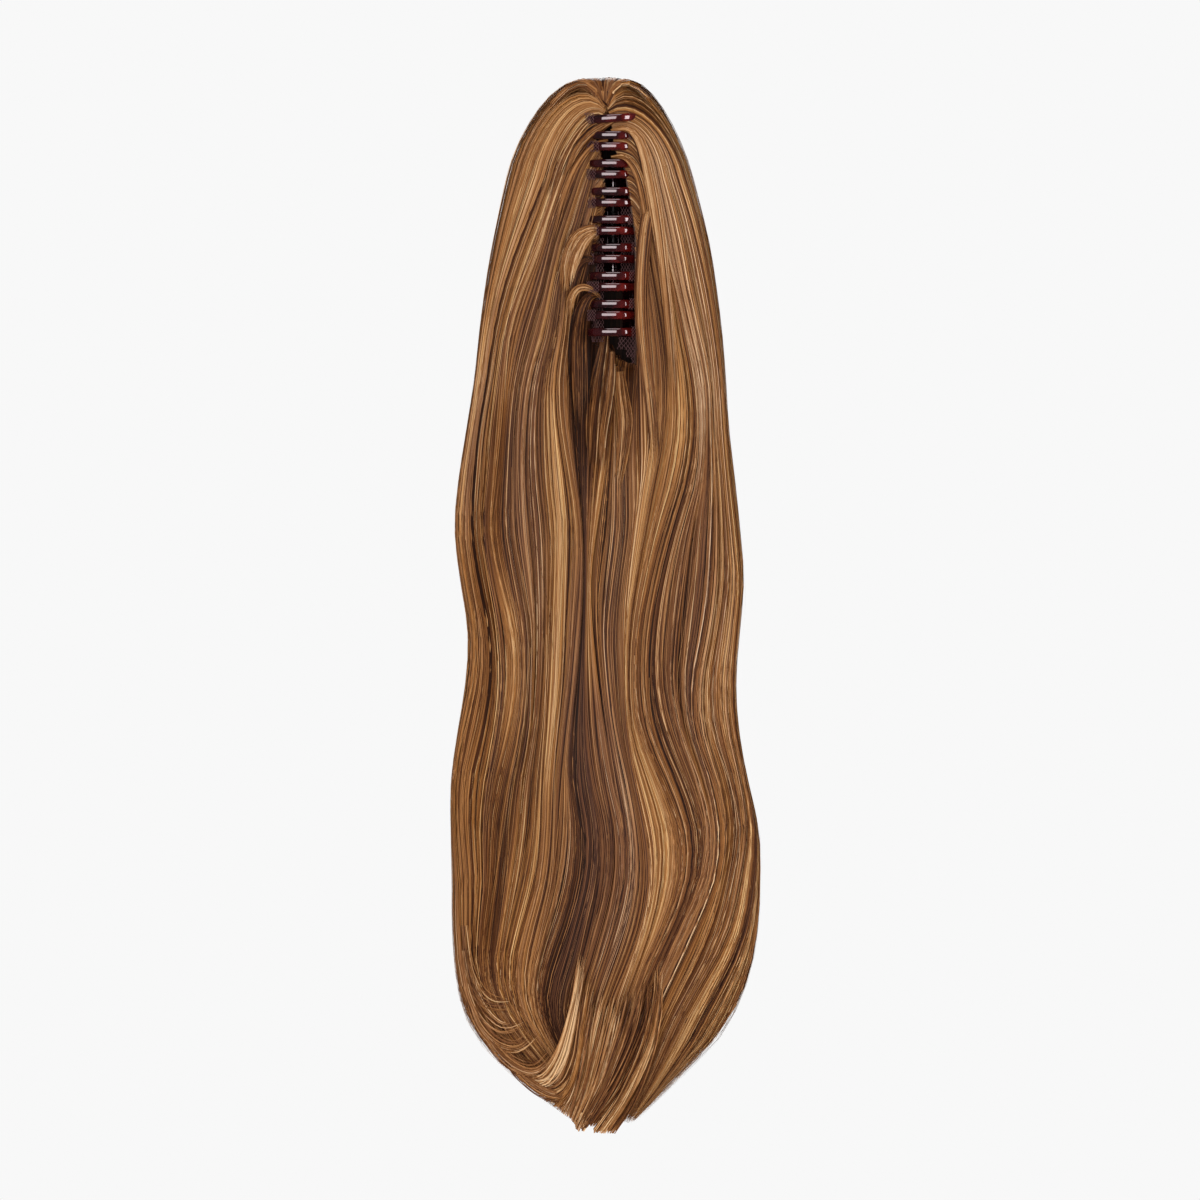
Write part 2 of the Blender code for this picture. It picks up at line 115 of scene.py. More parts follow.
# How the hair flows over the front, as the photograph shows it: the pixel x of guide
# strands at pixel heights, from the left silhouette to the right one. Strands lie between
# neighbouring guides. Guides 0 to 11 are the left fall, 12 to 16 come from under the
# claw, and the rest are the right fall.
GUIDE_HEIGHTS_PX = (
    180, 215, 250, 290, 330, 380, 430, 480, 530, 580, 630,
    680, 730, 780, 830, 880, 930, 970, 1005, 1040, 1075, 1122,
)
GUIDES_PX = (
    (504, 497, 490, 484, 479, 474, 466, 458, 454, 460, 468,
     466, 458, 451, 451, 452, 452, 455, 460, 476, 509, 572),
    (523, 512, 503, 493, 486, 479, 472, 465, 461, 467, 476,
     474, 463, 455, 455, 459, 460, 463, 475, 498, 530, 580),
    (542, 528, 514, 501, 492, 485, 476, 471, 469, 476, 486,
     487, 478, 465, 464, 468, 467, 470, 485, 510, 540, 584),
    (553, 542, 529, 515, 504, 496, 489, 485, 481, 487, 495,
     498, 494, 485, 481, 483, 479, 478, 490, 515, 545, 587),
    (562, 550, 540, 524, 511, 505, 501, 496, 492, 501, 514,
     517, 510, 498, 490, 489, 483, 482, 494, 519, 549, 589),
    (570, 557, 548, 538, 526, 514, 509, 506, 504, 512, 521,
     523, 517, 506, 497, 494, 487, 485, 497, 522, 551, 590),
    (577, 565, 554, 545, 534, 521, 515, 514, 515, 523, 531,
     529, 526, 516, 511, 504, 498, 494, 502, 525, 554, 591),
    (583, 572, 561, 552, 545, 531, 526, 525, 529, 534, 536,
     535, 532, 523, 518, 511, 503, 498, 506, 529, 557, 592),
    (589, 579, 568, 558, 552, 540, 536, 538, 543, 544, 544,
     542, 538, 532, 528, 520, 509, 503, 511, 533, 560, 593),
    (594, 585, 574, 563, 558, 549, 549, 551, 556, 555, 553,
     551, 548, 544, 542, 537, 523, 515, 519, 539, 565, 595),
    (597, 591, 579, 567, 563, 555, 557, 564, 568, 566, 564,
     562, 557, 552, 550, 545, 532, 524, 526, 543, 568, 597),
    (600, 596, 584, 571, 567, 561, 564, 573, 580, 579, 575,
     571, 565, 559, 556, 552, 540, 531, 531, 547, 571, 598),
    (592, 592, 591, 586, 580, 574, 575, 580, 584, 584, 582,
     578, 573, 571, 580, 576, 562, 548, 543, 555, 577, 600),
    (594, 594, 594, 594, 593, 591, 590, 588, 587, 586, 585,
     584, 584, 589, 599, 597, 585, 575, 565, 570, 586, 602),
    (608, 608, 608, 608, 608, 611, 609, 602, 595, 590, 592,
     597, 604, 612, 622, 622, 611, 598, 588, 585, 592, 605),
    (612, 612, 612, 612, 612, 615, 617, 618, 618, 612, 607,
     610, 616, 627, 635, 636, 626, 612, 600, 594, 598, 608),
    (630, 632, 634, 636, 638, 639, 634, 632, 632, 625, 621,
     622, 625, 633, 643, 647, 639, 625, 611, 602, 603, 610),
    (634, 637, 641, 645, 649, 652, 652, 645, 638, 631, 625,
     625, 628, 640, 652, 654, 644, 630, 618, 608, 607, 612),
    (639, 644, 649, 656, 663, 667, 666, 656, 646, 637, 630,
     628, 631, 647, 661, 661, 650, 636, 624, 613, 610, 614),
    (644, 650, 657, 666, 673, 680, 682, 675, 660, 648, 639,
     636, 641, 661, 680, 680, 662, 643, 632, 621, 615, 616),
    (649, 654, 662, 673, 681, 691, 694, 687, 672, 659, 650,
     648, 655, 675, 691, 690, 672, 653, 640, 629, 620, 618),
    (656, 663, 669, 678, 687, 698, 701, 697, 683, 672, 666,
     664, 674, 693, 707, 702, 680, 663, 648, 636, 626, 620),
    (661, 669, 676, 684, 693, 704, 706, 703, 695, 690, 684,
     680, 687, 704, 714, 710, 689, 671, 655, 642, 631, 622),
    (665, 675, 683, 690, 699, 709, 711, 713, 713, 711, 705,
     695, 695, 711, 720, 715, 695, 677, 660, 647, 636, 624),
    (671, 682, 690, 698, 706, 713, 716, 720, 723, 724, 718,
     710, 713, 728, 735, 727, 714, 696, 677, 661, 648, 626),
    (678, 689, 698, 707, 713, 719, 722, 726, 731, 736, 732,
     727, 730, 741, 748, 741, 730, 711, 690, 673, 656, 628),
    (686, 697, 705, 712, 718, 723, 726, 731, 737, 741, 737,
     733, 736, 746, 756, 755, 747, 732, 713, 694, 669, 631),
    (694, 703, 711, 717, 722, 726, 729, 735, 740, 744, 740,
     736, 739, 748, 760, 762, 761, 755, 743, 722, 685, 636),
)
BODY_SPLIT = 14.6
LANE_EDGE = 0.02
LANE_STEP = 0.03

# The start of each guide at the crown and two points that its curve bends towards.
CROWN_COLUMNS = ("start_x", "start_y", "first_x", "first_y", "second_x", "second_y")
CROWNS_PX = (
    (604, 108, 575, 34, 515, 124),
    (605, 110, 580, 72, 537, 118),
    (605, 112, 585, 92, 555, 122),
    (603, 115, 590, 104, 563, 140),
    (594, 122, 585, 128, 570, 152),
    (592, 134, 586, 140, 577, 162),
    (596, 142, 590, 150, 583, 164),
    (599, 150, 595, 158, 588, 168),
    (600, 158, 598, 164, 593, 172),
    (601, 166, 600, 170, 597, 175),
    (603, 190, 602, 192, 600, 196),
    (604, 205, 603, 206, 602, 210),
    (595, 262, 593, 266, 590, 274),
    (596, 338, 595, 342, 594, 348),
    (604, 342, 605, 346, 607, 352),
    (616, 360, 616, 364, 616, 368),
    (636, 366, 636, 369, 637, 373),
    (636, 236, 638, 242, 640, 250),
    (624, 166, 632, 166, 637, 172),
    (614, 150, 632, 152, 640, 160),
    (612, 133, 632, 128, 644, 148),
    (612, 129, 634, 122, 651, 146),
    (611, 126, 638, 118, 654, 142),
    (610, 122, 642, 114, 658, 140),
    (609, 118, 640, 106, 662, 136),
    (609, 114, 640, 100, 668, 136),
    (608, 111, 636, 88, 674, 134),
    (608, 107, 628, 34, 680, 122),
)
CROWN_POINTS = 11
CROWN_JOIN_PX = 6.0
FALL_SPREAD = 1.06
WHORL_X = -4.4 * MM
BACK_JOIN_Z = 20.0 * MM
FALL_POINTS = 38
BACK_FALL_POINTS = 28
BACK_LANES = (-0.34, 1.08)
EDGE_ROOM = 0.3 * MM

# Lighter and darker bands: the guide they follow, their width in guides, their top and
# bottom pixel heights, how much lighter they are and how much warmer. Besides the hair's own
# streaks of colour they hold painted light and shade: painted highlights along both
# silhouettes and over the right side, and painted shade in the valley under the claw.
BAND_COLUMNS = ("guide", "width", "top", "bottom", "tone", "warmth")
BAND_FADE_PX = 28.0
BANDS = (
    # Painted highlight along the left silhouette.
    (0.0, 0.35, 130, 1000, 0.22, 0.0),
    (0.9, 0.5, 330, 520, 0.22, 0.1),
    (1.6, 0.5, 90, 300, 0.18, 0.2),
    (1.6, 0.9, 380, 520, 0.0, -0.5),
    (2.0, 0.5, 560, 760, -0.10, 0.3),
    (3.0, 0.25, 380, 640, -0.14, 0.0),
    (3.8, 0.55, 590, 760, 0.20, 0.3),
    (3.6, 0.6, 100, 300, 0.12, 0.2),
    (4.0, 0.8, 400, 560, -0.04, 0.5),
    (4.6, 0.35, 440, 600, -0.16, 0.0),
    (4.9, 0.45, 800, 960, -0.20, 0.2),
    (2.4, 0.4, 740, 940, 0.18, 0.2),
    (10.4, 0.5, 760, 960, -0.12, -0.2),
    (14.8, 0.3, 760, 960, 0.12, -0.2),
    (16.1, 0.25, 700, 920, -0.14, -0.2),
    (5.0, 0.5, 160, 360, -0.14, -0.2),
    (6.2, 0.7, 400, 560, -0.08, -0.4),
    (7.0, 0.9, 360, 640, -0.04, -0.6),
    (6.4, 0.4, 650, 800, -0.30, 0.0),
    (7.5, 0.5, 820, 960, 0.12, 0.3),
    (8.6, 0.4, 820, 1010, 0.24, 0.4),
    (9.3, 0.75, 400, 800, 0.26, 0.3),
    (8.2, 0.6, 170, 340, -0.10, -0.4),
    (9.4, 0.6, 180, 340, -0.08, -0.6),
    (10.6, 0.35, 560, 760, -0.12, -0.2),
    (11.4, 0.8, 560, 760, 0.0, -0.5),
    # Painted shade in the valley under the claw, here and in the next three rows.
    (12.0, 0.75, 240, 500, -0.34, 0.0),
    (13.0, 0.55, 340, 500, -0.26, 0.0),
    (12.4, 0.4, 500, 680, -0.26, -0.2),
    (12.4, 0.9, 680, 1100, -0.20, -0.3),
    (13.8, 0.9, 700, 980, -0.08, -0.4),
    (5.5, 3.0, 740, 1000, -0.14, 0.2),
    (14.0, 0.5, 380, 700, 0.10, 0.3),
    (15.3, 0.5, 440, 690, -0.12, -0.6),
    (15.0, 0.5, 700, 1000, -0.14, -0.4),
    (16.2, 0.4, 360, 460, -0.16, 0.0),
    (17.0, 0.8, 400, 1000, 0.26, 0.3),
    (18.2, 0.5, 740, 1000, 0.24, 0.4),
    (18.5, 0.6, 380, 600, 0.12, 0.3),
    (19.3, 0.7, 240, 470, 0.18, 0.4),
    (20.2, 0.5, 140, 300, 0.20, 0.4),
    (21.8, 0.3, 520, 760, -0.22, -0.1),
    (21.0, 0.4, 660, 780, -0.12, 0.0),
    (21.4, 0.35, 380, 500, 0.26, -0.2),
    (22.0, 0.8, 120, 400, 0.06, 0.0),
    # Painted light over the right side.
    (23.0, 2.6, 130, 440, 0.22, -0.25),
    (23.0, 0.8, 500, 800, -0.06, -0.4),
    (24.0, 0.8, 640, 760, 0.10, 0.0),
    (25.0, 1.6, 440, 960, 0.07, 0.1),
    (26.0, 0.9, 130, 420, 0.08, -0.1),
    (25.4, 1.6, 400, 740, 0.10, 0.0),
    (3.0, 3.0, 100, 420, 0.09, -0.1),
    # Painted highlight along the right silhouette.
    (27.0, 0.4, 130, 1000, 0.14, 0.0),
)
# Grooves between locks, deeper, and darker with painted shade.
GROOVE_COLUMNS = ("guide", "width", "top", "bottom", "depth")
GROOVES = (
    (21.9, 0.15, 520, 800, 2.6),
    (12.0, 0.22, 480, 720, 2.6),
    (3.05, 0.14, 300, 900, 0.6),
    (5.9, 0.14, 200, 900, 1.6),
    (8.1, 0.14, 240, 1000, 1.4),
    (19.6, 0.14, 200, 700, 1.4),
    (23.6, 0.14, 180, 900, 1.4),
)

# The turned-up ends in front of the fall, from their base to their tips, in pixels.
TUFT_GUIDES_PX = (
    ((512, 1066), (534, 1076), (552, 1056), (564, 1028), (573, 992), (579, 950)),
    ((536, 1090), (560, 1086), (572, 1062), (577, 1028), (582, 992), (590, 952)),
    ((570, 1114), (577, 1090), (583, 1062), (588, 1030), (596, 994), (604, 958)),
    ((577, 1122), (592, 1090), (601, 1060), (609, 1028), (617, 994), (624, 958)),
    ((583, 1126), (606, 1088), (620, 1056), (631, 1024), (639, 990), (644, 952)),
    ((598, 1128), (620, 1096), (638, 1060), (650, 1026), (657, 992), (661, 956)),
    ((616, 1128), (634, 1104), (648, 1072), (658, 1040), (665, 1008), (669, 978)),
)
TUFT_COLUMNS = ("z", "middle", "half_width")
TUFT_SECTIONS = (
    (-375.0, 4.0, 30.0),
    (-410.0, 0.0, 32.0),
    (-430.0, -5.0, 38.0),
    (-448.0, -10.0, 40.0),
    (-460.0, -8.0, 34.0),
    (-468.5, -4.0, 22.0),
)
TUFT_ROWS = np.array(TUFT_SECTIONS[::-1]) * MM
TUFT_DEPTH = 9.4 * MM
TUFT_START = 1.2 * MM
# How far up the fan's strands reach: the guide and the share of its length.
TUFT_REACHES = ((0, 1.0), (0.7, 0.97), (2.0, 0.82), (3.5, 0.80), (4.6, 0.88), (5.3, 0.98), (6, 0.9))

# Single locks in front of the others: how many strands they have, how many millimetres they
# stand in front, and their tone. Each row of a path is the pixels x, y and half width.
LOCK_COLUMNS = ("body", "strands", "front", "tone", "path")
LOCKS = (
    ("right_half", 150, 1.6, 0.16, (
        (611, 132, 1.5), (628, 130, 3.0), (641, 145, 5.0), (650, 182, 6.0),
        (658, 230, 6.0), (664, 280, 5.0), (670, 340, 5.0), (674, 400, 5.0),
    )),
    ("right_half", 80, 1.6, 0.16, (
        (611, 158, 1.0), (624, 158, 2.5), (634, 167, 4.0), (641, 185, 4.5), (646, 210, 4.0), (651, 245, 4.0),
    )),
    ("right_half", 170, 1.2, 0.10, (
        (654, 190, 4.0), (647, 222, 6.0), (643, 256, 6.0), (641, 292, 6.0), (642, 328, 6.0),
        (646, 366, 6.0), (652, 416, 6.0), (656, 470, 5.0),
    )),
    ("left_half", 90, 0.3, 0.0, (
        (613, 122, 2.0), (601, 127, 5.0), (588, 136, 6.0), (574, 154, 6.0), (562, 180, 5.0),
    )),
    ("left_half", 90, 1.0, -0.04, (
        (606, 336, 3.0), (603, 356, 6.0), (598, 385, 8.0), (594, 420, 8.0), (592, 470, 5.0),
    )),
    ("left_half", 60, 1.6, 0.08, (
        (612, 352, 3.0), (611, 375, 5.0), (608, 402, 6.0), (603, 436, 6.0), (601, 476, 4.0),
    )),
    ("right_half", 70, 1.6, 0.06, (
        (620, 372, 4.0), (622, 395, 6.0), (625, 420, 7.0), (623, 450, 6.0), (617, 490, 4.0),
    )),
    ("left_half", 80, 1.2, 0.10, (
        (608, 141, 1.0), (596, 145, 2.0), (584, 157, 3.0), (573, 176, 4.0), (563, 204, 4.0), (552, 245, 4.0),
    )),
    ("left_half", 80, 0.8, 0.04, (
        (596, 118, 1.0), (584, 127, 2.0), (571, 145, 3.0), (560, 168, 4.0), (550, 200, 4.0),
    )),
    ("left_half", 260, 3.0, 0.24, (
        (600, 231, 3.0), (591, 232, 6.0), (581, 239, 9.0), (574, 252, 9.5), (569, 270, 8.0), (566, 298, 6.0),
    )),
    ("left_half", 60, 1.6, -0.14, (
        (596, 262, 2.0), (586, 260, 4.5), (577, 268, 6.0), (572, 286, 6.0), (570, 306, 5.0),
    )),
    ("left_half", 90, 3.0, 0.22, (
        (601, 299, 1.0), (593, 291, 2.0), (584, 288, 3.0), (576, 291, 3.5), (571, 301, 4.0), (569, 320, 4.0),
    )),
    ("left_half", 130, 2.4, -0.24, (
        (598, 296, 2.0), (590, 298, 5.0), (583, 312, 8.0),
        (580, 340, 10.0), (580, 380, 10.0), (582, 430, 8.0),
    )),
    ("left_half", 14, 2.0, 0.14, (
        (464, 925, 5.0), (468, 965, 7.0), (479, 992, 8.0), (494, 1003, 8.0), (514, 1002, 6.0),
    )),
    ("left_half", 16, 2.5, 0.18, (
        (464, 950, 5.0), (472, 993, 7.0), (486, 1017, 8.0), (505, 1028, 8.0), (528, 1019, 6.0),
    )),
    ("left_half", 20, 3.0, 0.14, (
        (468, 985, 5.0), (480, 1019, 7.0), (498, 1040, 8.0), (518, 1045, 8.0), (538, 1029, 6.0),
    )),
    ("left_half", 26, 3.5, 0.10, (
        (482, 1020, 5.0), (498, 1048, 7.0), (518, 1065, 8.0), (538, 1067, 8.0), (557, 1046, 6.0),
    )),
    ("left_half", 34, 2.5, 0.04, (
        (502, 1046, 5.0), (520, 1072, 7.0), (541, 1088, 8.0), (560, 1093, 7.0), (575, 1082, 4.0),
    )),
)

# Strands of each piece: how many, and their widths and how deep they lie in millimetres.
FRONT_STRANDS = 1500
FRONT_WIDTH = (0.24, 0.46)
FRONT_DEPTH = (0.0, 1.1)
UNDER_STRANDS = 200
UNDER_WIDTH = (1.6, 2.4)
UNDER_DEPTH = (1.3, 3.2)
BACK_STRANDS = 750
BACK_WIDTH = (0.8, 1.3)
BACK_DEPTH = (0.0, 2.0)
MIDDLE_STRANDS = 420
MIDDLE_WIDTH = (0.9, 1.6)
MIDDLE_DEPTH = (0.0, 3.0)
INSIDE_STRANDS = 260
INSIDE_WIDTH = (0.8, 1.6)
INSIDE_DEPTH = (0.0, 3.0)
TUFT_STRANDS = 1100
TUFT_WIDTH = (0.4, 0.7)
LOCK_WIDTH = (0.3, 0.5)
FLYAWAY_STRANDS = 90
FLYAWAY_WIDTH = (0.1, 0.2)
# Points along a strand, the share of it that tapers and the most that its tip is cut back.
TUFT_POINTS = 18
LOCK_POINTS = 16
INSIDE_POINTS = 12
TIP_TAPER = 0.12
TIP_CUT = 0.09
# Where the front's pieces meet in guides, and where the back's begin and end in turns.
FRONT_PARTINGS = (7.0, 21.5)
BACK_TURNS = (-0.28, 0.88)
MIDDLE_TURNS = (0.80, 1.05)
# Loose hairs: guides left free outside and inside, the shares of the fall where they start
# and how long they are, and how far they bow, drift and stand off, in millimetres.
FLYAWAY_MARGINS = (1.5, 3.0)
FLYAWAY_STARTS = (0.2, 0.7)
FLYAWAY_LENGTHS = (0.12, 0.32)
FLYAWAY_BOWS = (0.3, 1.5)
FLYAWAY_DRIFT = 4.0
FLYAWAY_GAP = 1.0
SEEDS = {
    "front": 100, "back": 200, "middle": 210, "tuft": 300, "inside": 400, "locks": 500, "flyaways": 600,
}

# Broad, coarse and fine locks: their spacing in guides in front and in turns behind, in
# guides of the fan and in half widths of a single lock, and how far strands stand out.
FRONT_LOCKS = (2.3, 0.34, 0.07)
BACK_LOCKS = (0.3, 0.05, 0.015)
TUFT_LOCKS = (0.45, 0.1)
SINGLE_LOCKS = 0.14
LOCK_RELIEF = (1.6 * MM, 0.22 * MM, 0.25 * MM)
# How far strands roll with their broad and coarse locks and on their own, in radians.
FRONT_ROLL = (0.15, 0.08, 0.24)
BACK_ROLL = (0.15, 0.15, 0.18)
# Sideways waves: how far, in the units of the locks' spacing, and radians from root to tip.
COARSE_WAVE = (0.12, 7.0)
FINE_WAVE = (0.05, 13.0)
OWN_WAVE = (0.02, 16.0)
BACK_COARSE_WAVE = (0.012, 8.0)
BACK_FINE_WAVE = (0.004, 15.0)
TUFT_WAVE = (0.05, 6.0)
LOCK_WAVE = (0.12, 5.0)
# The least and most that a strand's own tone differs from its lock's.
OWN_TONE = (-0.42, 0.46)

# Hair behind the jaws, painted near black as shade: from side to side and from top to
# bottom in millimetres, how far it stands behind the pin and how much it comes forward towards its sides.
INSIDE_X = (-17.0, 17.0)
INSIDE_Z = (64.0, -84.0)
INSIDE_SETBACK = 6.0 * MM
INSIDE_CURVE = 0.35
INSIDE_WAVE = (0.8 * MM, 14.0 * MM)

# The core beneath the strands: how deep it lies, and where its top and its ends draw in.
CORE_DEPTH = 4.5 * MM
CORE_LANES = 44
CORE_EDGE = 0.9
CORE_REACH = 80.0 * MM
CORE_TOP = (55.0 * MM, 75.0 * MM)
CORE_ENDS = (-440.0 * MM, -465.0 * MM)
CORE_BACK_Z = (44.0 * MM, -440.0 * MM)
CORE_BACK_ROWS = 60
CORE_BACK_TURNS = (-0.35, 0.86)
CORE_BACK_COLUMNS = 20
CORE_BACK_SHARE = 0.9

# Claw, as the solids have it, with slightly taller teeth and the left top one tilted.
TEETH_PER_JAW = 8
TOOTH_PITCH = 14.6 * MM
TOP_TOOTH_Z = {LEFT: 56.0 * MM, RIGHT: 47.2 * MM}
TOOTH_HEIGHT = 4.7 * MM
TOP_TOOTH_TILT = 0.06
TOOTH_DEPTH = 3.6 * MM
TOOTH_ROOT_ANGLE = 58.0
TOOTH_TIP_ANGLE = 221.0
# Teeth: sides and steps, how much they thin to the tip, and how many degrees of the arc
# carry the painted red glow of light through the shell to each side of the reddest place.
TOOTH_SIDES = 24
TOOTH_STEPS = 26
TOOTH_TIP_STEPS = 6
TOOTH_TAPER = 0.12
TOOTH_POINT = 0.06
GLOW_REACH = 30.0
GLOW_ANGLE = {LEFT: 196.0, RIGHT: 150.0}
# The arc of each jaw round the pin, its wall, and the arms that hold its knuckles.
JAW_HALF_WIDTH = 17.5 * MM
JAW_CENTRE_Y = -1.0 * MM
JAW_BACK_DEPTH = 19.0 * MM
JAW_FRONT_DEPTH = 22.5 * MM
WALL_THICKNESS = 2.4 * MM
WALL_ANGLES = (18.0, 76.0)
WALL_Z = (-57.2 * MM, 58.2 * MM)
EDGE_SOFTNESS = 0.6 * MM
ARM_ANGLES = (4.0, 22.0)
HINGE_Y = JAW_CENTRE_Y + JAW_BACK_DEPTH
KNUCKLE_RADIUS = 3.2 * MM
KNUCKLE_Z = {LEFT: (13.2 * MM, 21.0 * MM), RIGHT: (21.4 * MM, 29.2 * MM)}
# The thumb lever and the yoke that joins it to the wall, in degrees from straight back.
LEVER_HALF_ANGLE = 27.5
LEVER_START = 4.6 * MM
LEVER_REACH = 22.0 * MM
LEVER_THICKNESS = 2.4 * MM
LEVER_HALF_WIDTH = 21.0 * MM
YOKE_RADII = (4.0 * MM, 6.4 * MM)
YOKE_END_ANGLE = 106.0
# Netting: how far it stands off the teeth's arc, and the degrees between its threads.
NET_OFFSET = 2.85 * MM
NET_ANGLES = (27.0, 126.0)
NET_SPACING = 4.3
FOLD_SPACING = 3.4
FLAP_SPACING = 3.2
NET_BEHIND_TEETH = -3.6 * MM
NET_BELOW_TEETH = 1.0 * MM
# Threads: their zigzag as shares of the spacing, and the creases of closely spaced ones.
THREAD_RADIUS = 0.2 * MM
THREAD_SIDES = 3
THREAD_WAVE = 0.25 * MM
THREAD_PERIOD = 0.79
THREAD_REACH = 0.46
CRUMPLED_SPACING = 4.0
CRUMPLE_LENGTH = 2.3 * MM
CRUMPLE_DEPTH = 0.8 * MM
CRUMPLE_ANGLE = 2.0
# Netting wrapped round the root of each tooth.
SLEEVE_ANGLES = (118.0, 155.0)
SLEEVE_HALF_HEIGHT = 2.9 * MM
SLEEVE_OFFSET = 2.5 * MM
SLEEVE_SPACING = 2.3
# Stretches of netting of each jaw. The inset is how far outside the teeth's arc they lie,
# and the spacing is in degrees between threads.
NETTING_COLUMNS = ("angles", "heights", "inset", "spacing")
NETTING = {
    LEFT: (
        (NET_ANGLES, (-63.0 * MM, 58.0 * MM), NET_OFFSET, NET_SPACING),
        ((126.0, 158.0), (-60.0 * MM, -6.0 * MM), NET_BEHIND_TEETH, FOLD_SPACING),
    ),
    RIGHT: (
        (NET_ANGLES, (-70.0 * MM, 58.0 * MM), NET_OFFSET, NET_SPACING),
        ((126.0, 160.0), (-26.0 * MM, 14.0 * MM), NET_BEHIND_TEETH, FOLD_SPACING),
        ((132.0, 172.0), (-64.0 * MM, -57.6 * MM), NET_BELOW_TEETH, FLAP_SPACING),
        ((130.0, 160.0), (-68.0 * MM, -62.0 * MM), 1.6 * NET_BELOW_TEETH, FLAP_SPACING),
        ((128.0, 148.0), (-72.0 * MM, -66.0 * MM), NET_BELOW_TEETH, FLAP_SPACING),
    ),
}

# Lights: where they stand and aim, width and height in metres, watts, and whether gloss
# shows them.
LIGHT_COLUMNS = ("name", "place", "aim", "size", "power", "in_gloss")
LIGHTS = (
    ("front_soft", (-0.9, -3.3, 0.35), (0.0, 0.0, -0.15), (3.6, 1.7), 70, True),
    ("strip_left", (-1.9, 0.0, 0.1), (0.0, 0.0, -0.05), (1.4, 2.2), 26, False),
    ("strip_right", (1.7, -1.15, 0.1), (0.0, 0.0, -0.05), (0.6, 1.3), 13, True),
    ("side_right", (1.9, 0.1, 0.1), (0.0, 0.0, -0.05), (1.4, 2.2), 24, False),
    ("top", (0.0, -0.6, 1.7), (0.0, 0.0, 0.0), (1.2, 1.0), 8, True),
    ("back_rim", (0.0, 2.2, 0.8), (0.0, 0.0, -0.2), (1.6, 1.2), 34, True),
)
# The background's grey, its light on the object and in gloss, and the floor below.
BACKGROUND_GREY = 248
WORLD_LIGHT = 0.55
WORLD_IN_GLOSS = 0.05
FLOOR_GREY = 240
FLOOR_RADIUS = 0.8
FLOOR_Z = -0.62

# Colours from dark to light as position, red, green and blue in 0 to 255.
WARM_HAIR = (
    (0.0, 36, 16, 6), (0.25, 76, 40, 16), (0.5, 122, 74, 33), (0.75, 168, 115, 63), (1.0, 210, 168, 116),
)
COOL_HAIR = (
    (0.0, 36, 20, 15), (0.25, 74, 45, 33), (0.5, 116, 74, 47), (0.75, 160, 114, 78), (1.0, 208, 172, 138),
)
# Hair beneath the strands, painted darker as shade.
CORE_SHADED_HAIR = ((0.3, 48, 27, 15), (0.6, 84, 52, 31), (0.8, 112, 72, 44))
SHELL_DARK = ((0.35, 24, 7, 10), (0.65, 50, 12, 15))
SHELL_PAINTED_GLOW = ((0.35, 52, 8, 8), (0.65, 100, 21, 14))
NET_COLOUR = (92, 58, 58)
STEEL_COLOUR = (128, 122, 122)
# Streaks across and along the ribbons and how much they change the tone, the grain of the
# core and the claw, and the claw's tint in gloss.
STREAK_SCALE = (2500.0, 14.0, 1.0)
STREAK_TONE = 0.27
CORE_GRAIN = (900.0, 900.0, 9.0)
SHELL_GRAIN = 160.0
SHELL_GLOSS = (255, 214, 222)
SHELL_COAT = (255, 236, 240)
GRAIN_SPREAD = 0.2


def linear(red, green, blue):
    """Linear colour of an sRGB colour given in 0 to 255."""
    def convert(value):
        share = value / 255
        return share / 12.92 if share <= 0.04045 else ((share + 0.055) / 1.055) ** 2.4
    return (convert(red), convert(green), convert(blue), 1.0)


def from_pixels(x, y):
    """X and z on the object of a pixel of the photograph."""
    return (x - ORIGIN_X_PX) * PIXEL, (ORIGIN_Y_PX - y) * PIXEL


def curve_through(knots, values, places):
    """Smooth curve through values at knots, for the first axis of values."""
    slopes = np.gradient(values, knots, axis=0)
    i = np.clip(np.searchsorted(knots, places) - 1, 0, len(knots) - 2)
    span = knots[i + 1] - knots[i]
    t = (places - knots[i]) / span
    shape = (-1,) + (1,) * (values.ndim - 1)
    t, span = t.reshape(shape), span.reshape(shape)
    h0, h1 = 2 * t ** 3 - 3 * t ** 2 + 1, -2 * t ** 3 + 3 * t ** 2
    g0, g1 = t ** 3 - 2 * t ** 2 + t, t ** 3 - t ** 2
    return h0 * values[i] + h1 * values[i + 1] + span * (g0 * slopes[i] + g1 * slopes[i + 1])


def dense_sections(guides):
    """The section table at each millimetre, smooth and as wide as the outermost guides."""
    table = np.array(SECTIONS[::-1]) * MM
    heights = np.arange(table[0, 0], table[-1, 0], SECTION_STEP)
    rows = np.concatenate([heights[:, None], curve_through(table[:, 0], table[:, 1:], heights)], axis=1)
    for guide, name in ((guides[0], "left"), (guides[-1], "right")):
        falling = guide[guide[:, 1].argmax():][::-1]
        edge = np.interp(heights, falling[:, 1], np.abs(falling[:, 0]) + EDGE_ROOM, left=0.0, right=0.0)
        place = SECTION_COLUMNS.index(name)
        rows[:, place] = np.maximum(rows[:, place], edge)
    return rows


def column(name, z):
    return np.interp(z, SECTION_ROWS[:, 0], SECTION_ROWS[:, SECTION_COLUMNS.index(name)])


def smoothstep(low, high, value):
    t = np.clip((value - low) / (high - low), 0.0, 1.0)
    return t * t * (3 - 2 * t)


def unit(vectors):
    return vectors / np.maximum(np.linalg.norm(vectors, axis=-1, keepdims=True), 1e-12)


def directions(points):
    """Unit tangents along each strand of an array of strands by points by 3."""
    return unit(np.gradient(points, axis=1))


def front_y(x, z):
    """Y of the hair's front surface, rounded towards both silhouettes."""
    reach = np.where(x < 0, column("left", z), column("right", z))
    share = np.clip(np.abs(x) / reach, 0.0, 0.998) ** (1 / ROUNDNESS)
    middle, front = column("side", z), column("front", z)
    y = middle - (middle - front) * np.sqrt(1 - share ** 2)
    dip = np.exp(-((x + 8 * MM) / VALLEY_WIDTH) ** 2) * (column("valley", z) - front)
    return y + dip


